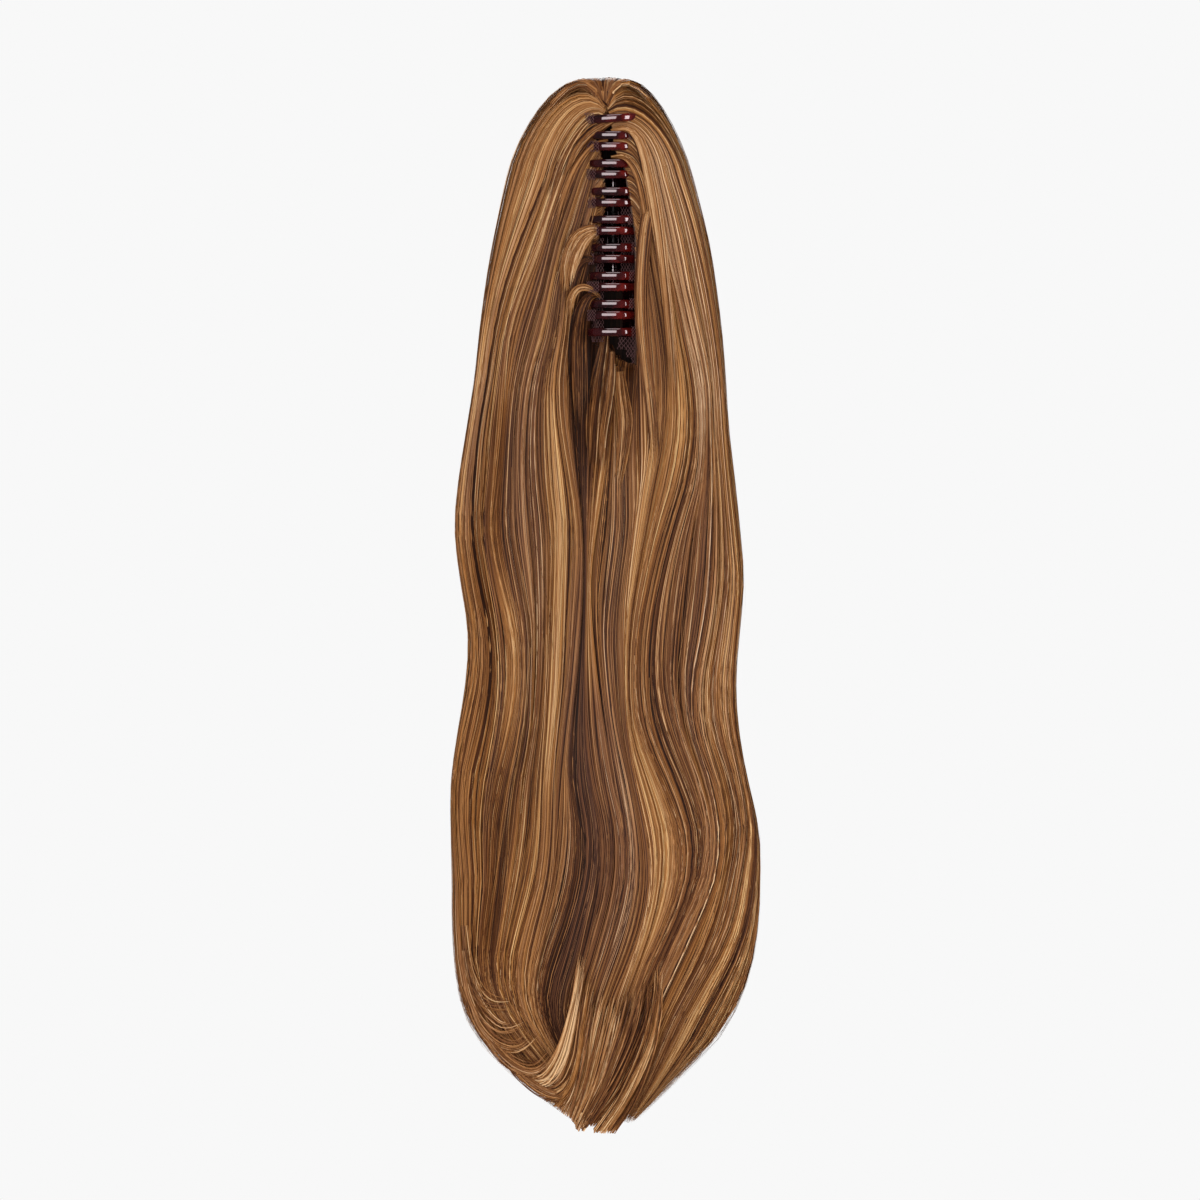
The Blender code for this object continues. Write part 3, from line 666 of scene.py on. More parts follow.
def back_point(side, turn, z):
    """Points of the shell. Turn is -1 at the front's middle, 0 at the silhouette and 1 behind."""
    reach = column(SIDE_NAMES[side], z)
    middle = column("side", z)
    depth = np.where(turn < 0, middle - column("front", z), column("back", z) - middle)
    angle = math.pi / 2 * turn
    x = reach * np.sign(np.cos(angle)) * np.abs(np.cos(angle)) ** ROUNDNESS
    y = middle + depth * np.sin(angle)
    return np.stack([side * x, y, z + 0 * x], axis=-1)


def bezier(start, first, second, end, t):
    """Points at t of the curve from start to end that bends towards first and second."""
    return (
        (1 - t) ** 3 * start + 3 * t * (1 - t) ** 2 * first
        + 3 * t * t * (1 - t) * second + t ** 3 * end
    )


def guide_points():
    """All guides as x and z in metres: guides by points by 2, crown and fall together."""
    heights = np.array(GUIDE_HEIGHTS_PX, float)
    starts = np.array(CROWNS_PX, float).reshape(-1, len(CROWN_COLUMNS) // 2, 2)
    t = np.linspace(0, 1, CROWN_POINTS)[:-1, None]
    guides = []
    for row, crown in zip(np.array(GUIDES_PX, float), starts):
        first = max(heights[0], crown[0, 1])
        join = first + CROWN_JOIN_PX if first > heights[0] else first
        fall = np.linspace(0, 1, FALL_POINTS) ** FALL_SPREAD * (heights[-1] - join) + join
        fall_x = curve_through(heights, row, fall)
        curve = bezier(*crown, np.array([fall_x[0], join]), t)
        guides.append(np.concatenate([curve, np.stack([fall_x, fall], axis=1)]))
    x, z = from_pixels(np.array(guides)[..., 0], np.array(guides)[..., 1])
    return np.stack([x, z], axis=-1)


GUIDE_POINTS = guide_points()
SECTION_ROWS = dense_sections(GUIDE_POINTS)
LAST_GUIDE = len(GUIDE_POINTS) - 1


def between_lanes(place, values):
    """Values between neighbouring lanes at the places of strands by points."""
    low = place.astype(int)
    share = (place - low)[..., None]
    step = np.arange(place.shape[1])[None, :]
    return values[low, step] * (1 - share) + values[low + 1, step] * share


def sampled(values, index):
    """Values of each strand at fractional numbers of its points."""
    low = np.clip(index.astype(int), 0, values.shape[1] - 2)
    share = (index - low)[..., None]
    row = np.arange(len(values))[:, None]
    return values[row, low] * (1 - share) + values[row, low + 1] * share


def across_strands(vectors, tangents):
    """Unit vectors without their part along the strands."""
    return unit(vectors - tangents * np.sum(vectors * tangents, axis=-1, keepdims=True))


def wave(size, along, phase):
    return size[0] * np.sin(size[1] * along + phase)


def phases(rng, count):
    return rng.uniform(0, 2 * math.pi, (count, 1))


def flow_points(place):
    """Front strands at places between guides, on the hair's surface."""
    flat = between_lanes(np.clip(place, 0, LAST_GUIDE - 0.001), GUIDE_POINTS)
    x, z = flat[..., 0], flat[..., 1]
    return np.stack([x, front_y(x, z), z], axis=-1)


def ribbon_object(name, points, normals, widths, tone, warmth, material):
    """One mesh of flat ribbons along strands of points, facing their normals."""
    count, steps = points.shape[:2]
    across = unit(np.cross(directions(points), normals))
    half = across * (widths / 2)[..., None]
    verts = np.stack([points - half, points + half], axis=2).reshape(-1, 3)
    strand = np.arange(count)[:, None] * steps * 2
    low = (strand + np.arange(steps - 1)[None, :] * 2).reshape(-1)
    quads = np.stack([low, low + 1, low + 3, low + 2], axis=1)

    mesh = bpy.data.meshes.new(name)
    mesh.vertices.add(len(verts))
    mesh.vertices.foreach_set("co", verts.astype(np.float32).reshape(-1))
    mesh.loops.add(quads.size)
    mesh.loops.foreach_set("vertex_index", quads.astype(np.int32).reshape(-1))
    mesh.polygons.add(len(quads))
    mesh.polygons.foreach_set("loop_start", np.arange(0, quads.size, 4, dtype=np.int32))
    mesh.update(calc_edges=True)
    mesh.shade_smooth()
    for label, value in (("tone", tone), ("warmth", warmth)):
        attribute = mesh.attributes.new(label, "FLOAT", "POINT")
        attribute.data.foreach_set("value", np.repeat(value.reshape(-1), 2).astype(np.float32))
    add_strip_uv(mesh, quads, count, steps)
    mesh.materials.append(material)
    obj = bpy.data.objects.new(name, mesh)
    bpy.context.scene.collection.objects.link(obj)
    return obj


def add_strip_uv(mesh, quads, count, steps):
    """Lays the ribbons side by side as upright strips, so that a baked picture fits them."""
    vertex = quads.reshape(-1)
    strand = vertex // (2 * steps)
    step = (vertex % (2 * steps)) // 2
    right = vertex % 2
    u = (strand + 0.1 + 0.8 * right) / count
    v = 0.01 + 0.98 * step / (steps - 1)
    layer = mesh.uv_layers.new(name="OFBake")
    layer.uv.foreach_set("vector", np.stack([u, v], axis=1).astype(np.float32).reshape(-1))


def turned(normals, tangents, angle):
    """Normals turned by an angle about the strand's own direction."""
    side = np.cross(tangents, normals)
    return normals * np.cos(angle)[..., None] + side * np.sin(angle)[..., None]


class Locks:
    """Locks of hair: each strand's place in its lock, and the lock's own random values."""

    def __init__(self, rng, place, spacing):
        low = place.min()
        count = max(1, int(round((place.max() - low) / spacing)))
        middles = low + (np.cumsum(rng.uniform(0.3, 1.7, count)) - 0.5) * spacing
        index = np.abs(place[:, None] - middles[None, :]).argmin(axis=1)
        self.middle = middles[index][:, None]
        self.place = np.clip((place[:, None] - self.middle) / spacing * 1.6, -1.0, 1.0)
        self.phase = rng.uniform(0, 2 * math.pi, count)[index][:, None]
        self.tone = rng.normal(0, 1, count)[index][:, None]
        self.warmth = rng.normal(0, 1, count)[index][:, None]
        self.height = rng.uniform(0.4, 1.0, count)[index][:, None]


def between(top, bottom, z):
    """One between two pixel heights, fading out beyond them."""
    height = ORIGIN_Y_PX - z / PIXEL
    rise = smoothstep(top - BAND_FADE_PX, top + BAND_FADE_PX, height)
    return rise * (1 - smoothstep(bottom - BAND_FADE_PX, bottom + BAND_FADE_PX, height))


def bands(rows, columns, name, place, z):
    """Sum of one named column of the bands or grooves that follow the guides."""
    total = np.zeros(place.shape)
    for values in rows:
        row = dict(zip(columns, values))
        near = np.exp(-(((place - row["guide"]) / row["width"]) ** 2))
        total = total + row[name] * near * between(row["top"], row["bottom"], z)
    return total


def front_strands(rng, place, depth, tip_share):
    """Strands of the front between the guides, from the crown down to their tips."""
    count = len(place)
    locks = [Locks(rng, place, spacing) for spacing in FRONT_LOCKS]
    broad, coarse, fine = locks
    own_place = place[:, None]
    along = np.linspace(0, 1, GUIDE_POINTS.shape[1])[None, :]
    down = smoothstep(0.1, 1.0, along)
    swing = wave(COARSE_WAVE, along, coarse.phase) + wave(FINE_WAVE, along, fine.phase)
    own = wave(OWN_WAVE, along, phases(rng, count))
    squeeze = (fine.middle - own_place) * (0.2 + 0.5 * down)
    squeeze = squeeze + (coarse.middle - own_place) * 0.10 * down
    stray = rng.normal(0, 0.12, (count, 1)) * down ** 2
    under_claw = smoothstep(10.5, 12.5, own_place)
    rooted = under_claw * (1 - smoothstep(17.5, 18.5, own_place))
    shaded = under_claw * (1 - smoothstep(15.8, 16.8, own_place))
    free = smoothstep(0.0, 0.1, along) * (1 - rooted) + smoothstep(0.22, 0.5, along) * rooted
    wander = (swing * (0.3 + 0.7 * down) + own + squeeze + stray) * free
    lanes = np.clip(own_place + wander, LANE_EDGE, LAST_GUIDE - LANE_EDGE)

    points = flow_points(lanes)
    right = flow_points(np.clip(lanes + LANE_STEP, 0, LAST_GUIDE))
    left = flow_points(np.clip(lanes - LANE_STEP, 0, LAST_GUIDE))
    normals = unit(np.cross(right - left, directions(points)))
    normals = normals * np.where(normals[..., 1:2] > 0, -1.0, 1.0)

    z = points[..., 2]
    dip = bands(GROOVES, GROOVE_COLUMNS, "depth", lanes, z) * MM
    edge = 1 - smoothstep(0.0, 1.6, np.minimum(lanes, LAST_GUIDE - lanes))
    relief = layered_relief(locks) * (1 - 0.85 * edge)
    lift = relief * smoothstep(0.0, 0.25, along) - depth[:, None] - dip - (0.8 - 0.9 * edge) * MM
    points = points + normals * lift[..., None]
    turn = roll(rng, broad, coarse, FRONT_ROLL)
    normals = turned(normals, directions(points), -turn + 0 * z)

    tone = strand_tone(rng, coarse, fine, along)
    tone = tone + bands(BANDS, BAND_COLUMNS, "tone", lanes, z)
    # Painted shade: darker beneath other strands and in the grooves.
    tone = tone - deep_shade(depth) - 0.05 * dip / MM
    tone = tone - 0.26 * shaded * (1 - smoothstep(0.2, 0.34, along))
    warmth = 0.66 + 0.14 * coarse.warmth + 0.18 * fine.warmth
    warmth = warmth + bands(BANDS, BAND_COLUMNS, "warmth", lanes, z)
    return trimmed(points, tip_share), trimmed(normals, tip_share), tone, warmth


def layered_relief(locks):
    """How far strands stand out within their broad, coarse and fine locks."""
    return sum((1 - lock.place ** 2) * lock.height * relief for lock, relief in zip(locks, LOCK_RELIEF))


def roll(rng, broad, coarse, amounts):
    own = rng.normal(0, amounts[2], coarse.tone.shape)
    return broad.place * amounts[0] + coarse.place * amounts[1] + own


def deep_shade(depth):
    """How much darker strands are that lie beneath others."""
    return 0.045 * np.maximum(0, depth[:, None] / MM - 0.8)


def strand_tone(rng, coarse, fine, along):
    """Tone of strands: their locks' and their own, with a few much lighter or darker, and painted shade
    towards the edges of their coarse locks.
    """
    own = np.clip(rng.normal(0, 0.21, coarse.tone.shape), *OWN_TONE)
    tone = 0.445 + 0.04 * coarse.tone + 0.10 * fine.tone + own
    # Painted shade towards the coarse locks' edges.
    return tone + 0.04 * np.sin(9.0 * along + fine.phase) - 0.02 * coarse.place ** 4


def trimmed(points, tip_share):
    """Strands cut short at their own share of their length, with their points spread again."""
    last = points.shape[1] - 1
    return sampled(points, np.linspace(0, 1, last + 1)[None, :] * tip_share[:, None] * last)


def back_strands(side, rng, turn, depth):
    """Strands of the back of one side, from the whorl over the top down to their tips."""
    count = len(turn)
    locks = [Locks(rng, turn, spacing) for spacing in BACK_LOCKS]
    broad, coarse, fine = locks
    turn = turn[:, None]
    u = np.linspace(0, 1, BACK_FALL_POINTS)[None, :]
    tip = -(465 - 30 * rng.beta(1.0, 3.0, (count, 1))) * MM
    z = BACK_JOIN_Z + (tip - BACK_JOIN_Z) * (1 - (1 - u) ** 1.15)
    firm = 1 - 0.7 * depth[:, None] / depth.max()
    swing = firm * wave(BACK_COARSE_WAVE, u, coarse.phase) + wave(BACK_FINE_WAVE, u, fine.phase)
    pull = (fine.middle - turn) * 0.5 * smoothstep(0.1, 1.0, u) * (1 - smoothstep(0.7, 0.9, turn))
    lanes = np.clip(turn + (swing + pull) * smoothstep(0.0, 0.15, u), *BACK_LANES)
    fall = back_point(side, lanes, z)
    fall[..., 0] *= 1 - 0.07 * smoothstep(-380 * MM, -455 * MM, z)

    start = np.zeros((count, 1, 3))
    start[..., 0] = WHORL_X + side * rng.uniform(0, 1.8, (count, 1)) * MM
    start[..., 2] = (61.5 + rng.uniform(-1.5, 2.5, (count, 1))) * MM
    start[..., 1] = front_y(start[..., 0], start[..., 2]) + 1.0 * MM
    end = fall[:, :1]
    first = start + 0.2 * (end - start)
    first[..., 2] = (98 - 6 * turn) * MM
    second = start + 0.85 * (end - start)
    second[..., 2] = (58 + 24 * turn) * MM
    crown = bezier(start, first, second, end, np.linspace(0, 1, CROWN_POINTS)[None, :-1, None])
    points = np.concatenate([crown, fall], axis=1)
    along = np.linspace(0, 1, points.shape[1])[None, :]
    tangents = directions(points)
    x, y, z = points[..., 0], points[..., 1], points[..., 2]
    outward = np.stack([
        x / (60 * MM) ** 2,
        (y - column("side", z)) / (38 * MM) ** 2,
        np.maximum(z - 30 * MM, 0) / (48 * MM) ** 2,
    ], axis=-1)
    normals = across_strands(outward, tangents)
    behind = smoothstep(0.0, 0.3, turn)
    smooth = behind ** 2 * (1 - 0.6 * smoothstep(0.8, 0.95, turn))
    lift = layered_relief(locks) * smoothstep(0.0, 0.25, along) * smooth
    lift = lift - (2.6 - 1.8 * behind) * MM - depth[:, None]
    points = points + normals * lift[..., None]
    normals = turned(normals, tangents, side * roll(rng, broad, coarse, BACK_ROLL) + 0 * z)
    # Painted light: strands round the silhouette, short of the back, are made lighter.
    tone = strand_tone(rng, coarse, fine, along) - deep_shade(depth) + 0.14 * (1 - behind)
    warmth = 0.62 + 0.18 * coarse.warmth + 0.14 * fine.warmth + 0 * z
    return points, normals, tone, warmth


def tuft_column(name, z):
    return np.interp(z, TUFT_ROWS[:, 0], TUFT_ROWS[:, TUFT_COLUMNS.index(name)])


def tuft_strands(rng, count):
    """The ends that turn up in front of the fall, a fan from the lowest point."""
    guides = np.array(TUFT_GUIDES_PX, float).transpose(1, 0, 2)
    last = guides.shape[1] - 1.01
    along = np.linspace(0, 1, TUFT_POINTS)
    dense = curve_through(np.linspace(0, 1, len(guides)), guides, along).transpose(1, 0, 2)
    along = along[None, :]
    place = np.sort(rng.uniform(0, last, count))
    coarse, fine = [Locks(rng, place, spacing) for spacing in TUFT_LOCKS]
    squeeze = (coarse.middle - place[:, None]) * 0.55 * smoothstep(0.5, 1.0, along)
    own = rng.normal(0, 0.22, (count, 1)) * along ** 2
    lanes = place[:, None] + squeeze + own + wave(TUFT_WAVE, along, fine.phase)
    lanes = np.clip(lanes, 0, last)
    flat = between_lanes(lanes, dense)
    flat[..., 1] += (rng.uniform(-10, 3, (count, 1)) + 2.0 * coarse.tone) * (1 - along) ** 2
    reach = np.interp(place, *zip(*TUFT_REACHES))
    length = np.clip(reach - rng.beta(1.2, 1.8, count) * 0.5, 0.3, 1.0)
    x, z = from_pixels(flat[..., 0], flat[..., 1])
    across = np.clip((x - tuft_column("middle", z)) / tuft_column("half_width", z), -0.98, 0.98)
    bulge = TUFT_DEPTH * np.sin(math.pi * along) ** 0.7 * np.sqrt(1 - across ** 2)
    outer = 0.7 + 0.3 * (1 - coarse.place ** 2)
    layer = np.linspace(0, 1, count)[rng.permutation(count)][:, None]
    y = front_y(x, z) - TUFT_START - bulge * outer * layer
    points = np.stack([x, y, z], axis=-1)
    tangents = directions(points)
    facing = np.stack([across * 0.8, -1 + 0 * x, 0 * x], axis=-1)
    roll_angle = coarse.place * 0.3 + rng.normal(0, 0.25, (count, 1)) + 0 * x
    normals = turned(across_strands(facing, tangents), tangents, roll_angle)
    tone = strand_tone(rng, coarse, fine, along)
    edge = np.exp(-((lanes - 0.2) / 0.5) ** 2) + np.exp(-((lanes - 5.6) / 0.4) ** 2)
    tone = tone + 0.09 + 0.16 * edge * smoothstep(0.2, 0.5, along)
    warmth = 0.55 + 0.15 * coarse.warmth + 0 * x
    return trimmed(points, length), trimmed(normals, length), tone, warmth


def lock_strands(rng, row):
    """A tapering bundle of strands along the path of one row of the locks."""
    count = row["strands"]
    path = np.array(row["path"], float)
    along = np.linspace(0, 1, LOCK_POINTS)
    dense = curve_through(np.linspace(0, 1, len(path)), path, along)
    ahead = unit(np.gradient(dense[:, :2], axis=0))
    across = np.stack([-ahead[:, 1], ahead[:, 0]], axis=1)
    half_width = dense[:, 2]
    along = along[None, :]
    place = np.sort(rng.uniform(-1, 1, (count, 1)), axis=0)
    fine = Locks(rng, place[:, 0], SINGLE_LOCKS)
    offset = (place + wave(LOCK_WAVE, along, phases(rng, count))) * half_width
    x, z = from_pixels(dense[:, 0] + across[:, 0] * offset, dense[:, 1] + across[:, 1] * offset)
    bulge = np.sqrt(np.clip(1 - place ** 2, 0, 1)) * half_width * PIXEL * 0.7
    inner = np.clip(np.minimum(along, 1 - along) / 0.2, 0, 1)
    y = front_y(x, z) - row["front"] * MM * inner - bulge + rng.uniform(0, 1.2, (count, 1)) * MM
    points = np.stack([x, y, z], axis=-1)
    tangents = directions(points)
    tilt = 0.7 * place
    facing = np.stack([tilt * across[:, 0], -1 + 0 * x, -tilt * across[:, 1]], axis=-1)
    roll_angle = rng.normal(0, 0.2, (count, 1)) + 0 * x
    normals = turned(across_strands(facing, tangents), tangents, roll_angle)
    own = np.clip(rng.normal(0, 0.16, (count, 1)), *OWN_TONE)
    # Painted shade darkens the strands towards the lock's edges.
    tone = 0.44 + row["tone"] + own + 0.12 * fine.tone - 0.12 * place ** 4 + 0 * x
    length = 1 - 0.45 * rng.beta(1.1, 1.8, count)
    warmth = 0.6 + rng.normal(0, 0.12, (count, 1)) + 0 * x
    return trimmed(points, length), trimmed(normals, length), tone, warmth


def make_locks(material):
    """The single locks, joined to one piece for each half."""
    rng = np.random.default_rng(SEEDS["locks"])
    rows = [dict(zip(LOCK_COLUMNS, row)) for row in LOCKS]
    for side in (LEFT, RIGHT):
        body = SIDE_BODIES[side]
        bundles = [lock_strands(rng, row) for row in rows if row["body"] == body]
        strands = [np.concatenate(parts) for parts in zip(*bundles)]
        add_hair(f"hair_{SIDE_NAMES[side]}_locks", body, rng, strands, LOCK_WIDTH, material)


def flyaway_strands(rng, low, high):
    """Short stretches of front strands between two guides, bowed off the surface."""
    count = FLYAWAY_STRANDS
    place = rng.uniform(low, high, count)
    points, normals, tone, warmth = front_strands(rng, place, np.zeros(count), np.ones(count))
    last = points.shape[1] - 1
    along = np.linspace(0, 1, last + 1)[None, :]
    start = rng.uniform(*FLYAWAY_STARTS, (count, 1))
    window = start + rng.uniform(*FLYAWAY_LENGTHS, (count, 1)) * along
    index = np.clip(window * last, 0, last - 0.001)
    normals = unit(sampled(normals, index))
    bow = np.sin(math.pi * along) * rng.uniform(*FLYAWAY_BOWS, (count, 1)) * MM
    points = sampled(points, index) + normals * (bow + FLYAWAY_GAP * MM)[..., None]
    points[..., 0] += along * rng.normal(0, FLYAWAY_DRIFT, (count, 1)) * MM
    return points, normals, tone[:, :1] + 0.04 + 0 * along, warmth


def make_flyaways(material):
    """Thin loose hairs that stand a little off the fall."""
    outer, inner = FLYAWAY_MARGINS
    spans = {LEFT: (outer, BODY_SPLIT - inner), RIGHT: (BODY_SPLIT + inner, LAST_GUIDE - outer)}
    for side, span in spans.items():
        rng = np.random.default_rng(SEEDS["flyaways"] + side)
        strands = flyaway_strands(rng, *span)
        name = f"hair_{SIDE_NAMES[side]}_flyaways"
        add_hair(name, SIDE_BODIES[side], rng, strands, FLYAWAY_WIDTH, material)


def strand_widths(rng, count, steps, width):
    """Widths along strands, even and then tapering to the tip."""
    own = rng.uniform(*width, (count, 1)) * MM
    along = np.linspace(0, 1, steps)[None, :]
    return own * np.clip((1 - along) / TIP_TAPER, 0.04, 1.0) ** 0.7


def add_hair(name, body, rng, strands, width, material):
    """Makes one hair piece that rides a body, or without one keeps its points where they are built."""
    points, normals, tone, warmth = strands
    widths = strand_widths(rng, *points.shape[:2], width)
    piece = ribbon_object(name, points, normals, widths, tone, warmth, material)
    if body:
        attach(piece, body)
    else:
        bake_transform(piece)


def make_front_hair(material):
    """The front's strands in pieces, each on the half that its guides belong to."""
    left, right = FRONT_PARTINGS
    front = (FRONT_STRANDS, FRONT_WIDTH, FRONT_DEPTH)
    under = (UNDER_STRANDS, UNDER_WIDTH, UNDER_DEPTH)
    pieces = (
        ("hair_left_outer_front", "left_half", 0.0, left, front),
        ("hair_left_inner_front", "left_half", left, BODY_SPLIT, front),
        ("hair_right_inner_front", "right_half", BODY_SPLIT, right, front),
        ("hair_right_outer_front", "right_half", right, LAST_GUIDE, front),
        ("hair_left_under", "left_half", 0.0, BODY_SPLIT, under),
        ("hair_right_under", "right_half", BODY_SPLIT, LAST_GUIDE, under),
    )
    for i, (name, body, low, high, (count, width, depths)) in enumerate(pieces):
        rng = np.random.default_rng(SEEDS["front"] + i)
        place = np.sort(rng.uniform(low, high, count))
        depth = rng.uniform(*depths, count) * MM
        tip_share = 1.0 - TIP_CUT * rng.beta(1.0, 4.0, count)
        add_hair(name, body, rng, front_strands(rng, place, depth, tip_share), width, material)


def scattered_back(side, rng, count, turns, depths):
    """Back strands of one side at random turns and depths."""
    turn = np.sort(rng.uniform(*turns, count))
    return back_strands(side, rng, turn, rng.uniform(*depths, count) * MM)


def make_back_hair(material):
    """Hair of both halves behind, and hair over the parting between them."""
    for side in (LEFT, RIGHT):
        rng = np.random.default_rng(SEEDS["back"] + side)
        strands = scattered_back(side, rng, BACK_STRANDS, BACK_TURNS, BACK_DEPTH)
        add_hair(f"hair_{SIDE_NAMES[side]}_back", SIDE_BODIES[side], rng, strands, BACK_WIDTH, material)
    rng = np.random.default_rng(SEEDS["middle"])
    halves = [
        scattered_back(side, rng, MIDDLE_STRANDS, MIDDLE_TURNS, MIDDLE_DEPTH) for side in (LEFT, RIGHT)
    ]
    strands = [np.concatenate(parts) for parts in zip(*halves)]
    add_hair("hair_back_middle", None, rng, strands, MIDDLE_WIDTH, material)


def make_tuft(material):
    """The turned-up ends."""
    rng = np.random.default_rng(SEEDS["tuft"])
    add_hair("hair_tuft", "left_half", rng, tuft_strands(rng, TUFT_STRANDS), TUFT_WIDTH, material)


def new_material(name):
    """A new material with its nodes, its links and its shader."""
    material = bpy.data.materials.new(name)
    material.use_nodes = True
    nodes = material.node_tree.nodes
    return material, nodes, material.node_tree.links, nodes["Principled BSDF"]


def new_node(nodes, kind, **values):
    """A new node with values on its own sockets. An underscore in a name stands for a space."""
    node = nodes.new(kind)
    for name, value in values.items():
        node.inputs[name.replace("_", " ")].default_value = value
    return node


def attribute_node(nodes, name):
    node = nodes.new("ShaderNodeAttribute")
    node.attribute_name = name
    return node.outputs["Fac"]


def mix_colour(nodes, links, factor, first, second):
    mix = nodes.new("ShaderNodeMix")
    mix.data_type = "RGBA"
    links.new(factor, mix.inputs["Factor"])
    links.new(first, mix.inputs["A"])
    links.new(second, mix.inputs["B"])
    return mix.outputs["Result"]


def ramp_colour(nodes, links, factor, stops):
    """The colour at a factor between stops from dark to light."""
    ramp = nodes.new("ShaderNodeValToRGB")
    elements = ramp.color_ramp.elements
    while len(elements) > 1:
        elements.remove(elements[-1])
    elements[0].position = stops[0][0]
    elements[0].color = linear(*stops[0][1:])
    for position, *colour in stops[1:]:
        elements.new(position).color = linear(*colour)
    links.new(factor, ramp.inputs["Fac"])
    return ramp.outputs["Color"]


def hair_material():
    """Fibre whose colour runs from dark brown to light gold with each strand's tone, which holds its own
    colour and painted light and shade.
    """
    material, nodes, links, shader = new_material("hair_strands")
    strip = nodes.new("ShaderNodeUVMap")
    strip.uv_map = "OFBake"
    stretch = new_node(nodes, "ShaderNodeMapping", Scale=STREAK_SCALE)
    streaks = new_node(nodes, "ShaderNodeTexNoise", Scale=1.0)
    streaks.noise_dimensions = "2D"
    spread = new_node(nodes, "ShaderNodeMapRange", To_Min=-STREAK_TONE, To_Max=STREAK_TONE)
    varied = nodes.new("ShaderNodeMath")
    links.new(strip.outputs["UV"], stretch.inputs["Vector"])
    links.new(stretch.outputs["Vector"], streaks.inputs["Vector"])
    links.new(streaks.outputs["Fac"], spread.inputs["Value"])
    links.new(attribute_node(nodes, "tone"), varied.inputs[0])
    links.new(spread.outputs["Result"], varied.inputs[1])
    warm = ramp_colour(nodes, links, varied.outputs["Value"], WARM_HAIR)
    cool = ramp_colour(nodes, links, varied.outputs["Value"], COOL_HAIR)
    colour = mix_colour(nodes, links, attribute_node(nodes, "warmth"), cool, warm)
    links.new(colour, shader.inputs["Base Color"])
    tangent = nodes.new("ShaderNodeTangent")
    tangent.direction_type = "UV_MAP"
    tangent.uv_map = "OFBake"
    links.new(tangent.outputs["Tangent"], shader.inputs["Tangent"])
    shader.inputs["Roughness"].default_value = 0.42
    shader.inputs["Anisotropic"].default_value = 0.7
    shader.inputs["Specular IOR Level"].default_value = 0.08
    return material


def core_material():
    """Hair beneath the strands, painted darker as shade."""
    material, nodes, links, shader = new_material("hair_core")
    place = nodes.new("ShaderNodeTexCoord")
    scale = new_node(nodes, "ShaderNodeMapping", Scale=CORE_GRAIN)
    noise = new_node(nodes, "ShaderNodeTexNoise", Scale=1.0, Detail=3.0)
    bump = new_node(nodes, "ShaderNodeBump", Strength=0.5, Distance=0.4 * MM)
    links.new(place.outputs["Object"], scale.inputs["Vector"])
    links.new(scale.outputs["Vector"], noise.inputs["Vector"])
    links.new(ramp_colour(nodes, links, noise.outputs["Fac"], CORE_SHADED_HAIR), shader.inputs["Base Color"])
    links.new(noise.outputs["Fac"], bump.inputs["Height"])
    links.new(bump.outputs["Normal"], shader.inputs["Normal"])
    shader.inputs["Roughness"].default_value = 0.6
    return material


def shell_material():
    """Glossy dark tortoiseshell with a painted red glow where light would come through it."""
    material, nodes, links, shader = new_material("tortoiseshell_gloss")
    place = nodes.new("ShaderNodeTexCoord")
    noise = new_node(nodes, "ShaderNodeTexNoise", Scale=SHELL_GRAIN, Detail=2.0)
    links.new(place.outputs["Object"], noise.inputs["Vector"])
    dark = ramp_colour(nodes, links, noise.outputs["Fac"], SHELL_DARK)
    red = ramp_colour(nodes, links, noise.outputs["Fac"], SHELL_PAINTED_GLOW)
    colour = mix_colour(nodes, links, attribute_node(nodes, "glow"), dark, red)
    links.new(colour, shader.inputs["Base Color"])
    shader.inputs["Roughness"].default_value = 0.12
    shader.inputs["Specular IOR Level"].default_value = 0.6
    shader.inputs["Specular Tint"].default_value = linear(*SHELL_GLOSS)
    shader.inputs["Coat Weight"].default_value = 1.0
    shader.inputs["Coat Tint"].default_value = linear(*SHELL_COAT)
    shader.inputs["Coat IOR"].default_value = 1.85
    shader.inputs["Coat Roughness"].default_value = 0.03
    return material


def plain_material(name, colour, roughness, metallic=0.0, grain=600.0):
    """A material with a fine grain in its roughness."""
    material, nodes, links, shader = new_material(name)
    shader.inputs["Base Color"].default_value = linear(*colour)
    shader.inputs["Metallic"].default_value = metallic
    noise = new_node(nodes, "ShaderNodeTexNoise", Scale=grain)
    low, high = roughness * (1 - GRAIN_SPREAD), roughness * (1 + GRAIN_SPREAD)
    spread = new_node(nodes, "ShaderNodeMapRange", To_Min=low, To_Max=high)
    links.new(noise.outputs["Fac"], spread.inputs["Value"])
    links.new(spread.outputs["Result"], shader.inputs["Roughness"])
    return material


def jaw_point(side, angle, offset=0.0):
    """A point on the jaw's arc from above. Angle 0 is the pin, 90 the widest, 180 the front."""
    t = math.radians(angle)
    depth = JAW_BACK_DEPTH if math.cos(t) > 0 else JAW_FRONT_DEPTH
    normal = Vector((depth * math.sin(t), JAW_HALF_WIDTH * math.cos(t))).normalized()
    x = JAW_HALF_WIDTH * math.sin(t) + offset * normal.x
    y = JAW_CENTRE_Y + depth * math.cos(t) + offset * normal.y
    return side * x, y


def ray(side, degrees, radius, shift=0.0):
    """A point at a radius from the pin, degrees from straight back, moved outwards by shift."""
    a = math.radians(degrees)
    x = radius * math.sin(a) + shift * math.cos(a)
    y = HINGE_Y + radius * math.cos(a) - shift * math.sin(a)
    return side * x, y


def add_loft(bm, rings):
    """Joins rings of equal length into a closed skin and caps both ends."""
    loops = [[bm.verts.new(point) for point in ring] for ring in rings]
    count = len(loops[0])
    for lower, upper in zip(loops, loops[1:]):
        for i in range(count):
            j = (i + 1) % count
            bm.faces.new((lower[i], lower[j], upper[j], upper[i]))
    bm.faces.new(list(reversed(loops[0])))
    bm.faces.new(loops[-1])
    return loops


def squared(value):
    """Sine or cosine of a turn round a rounded square instead of a circle."""
    return math.copysign(abs(value) ** 0.75, value)


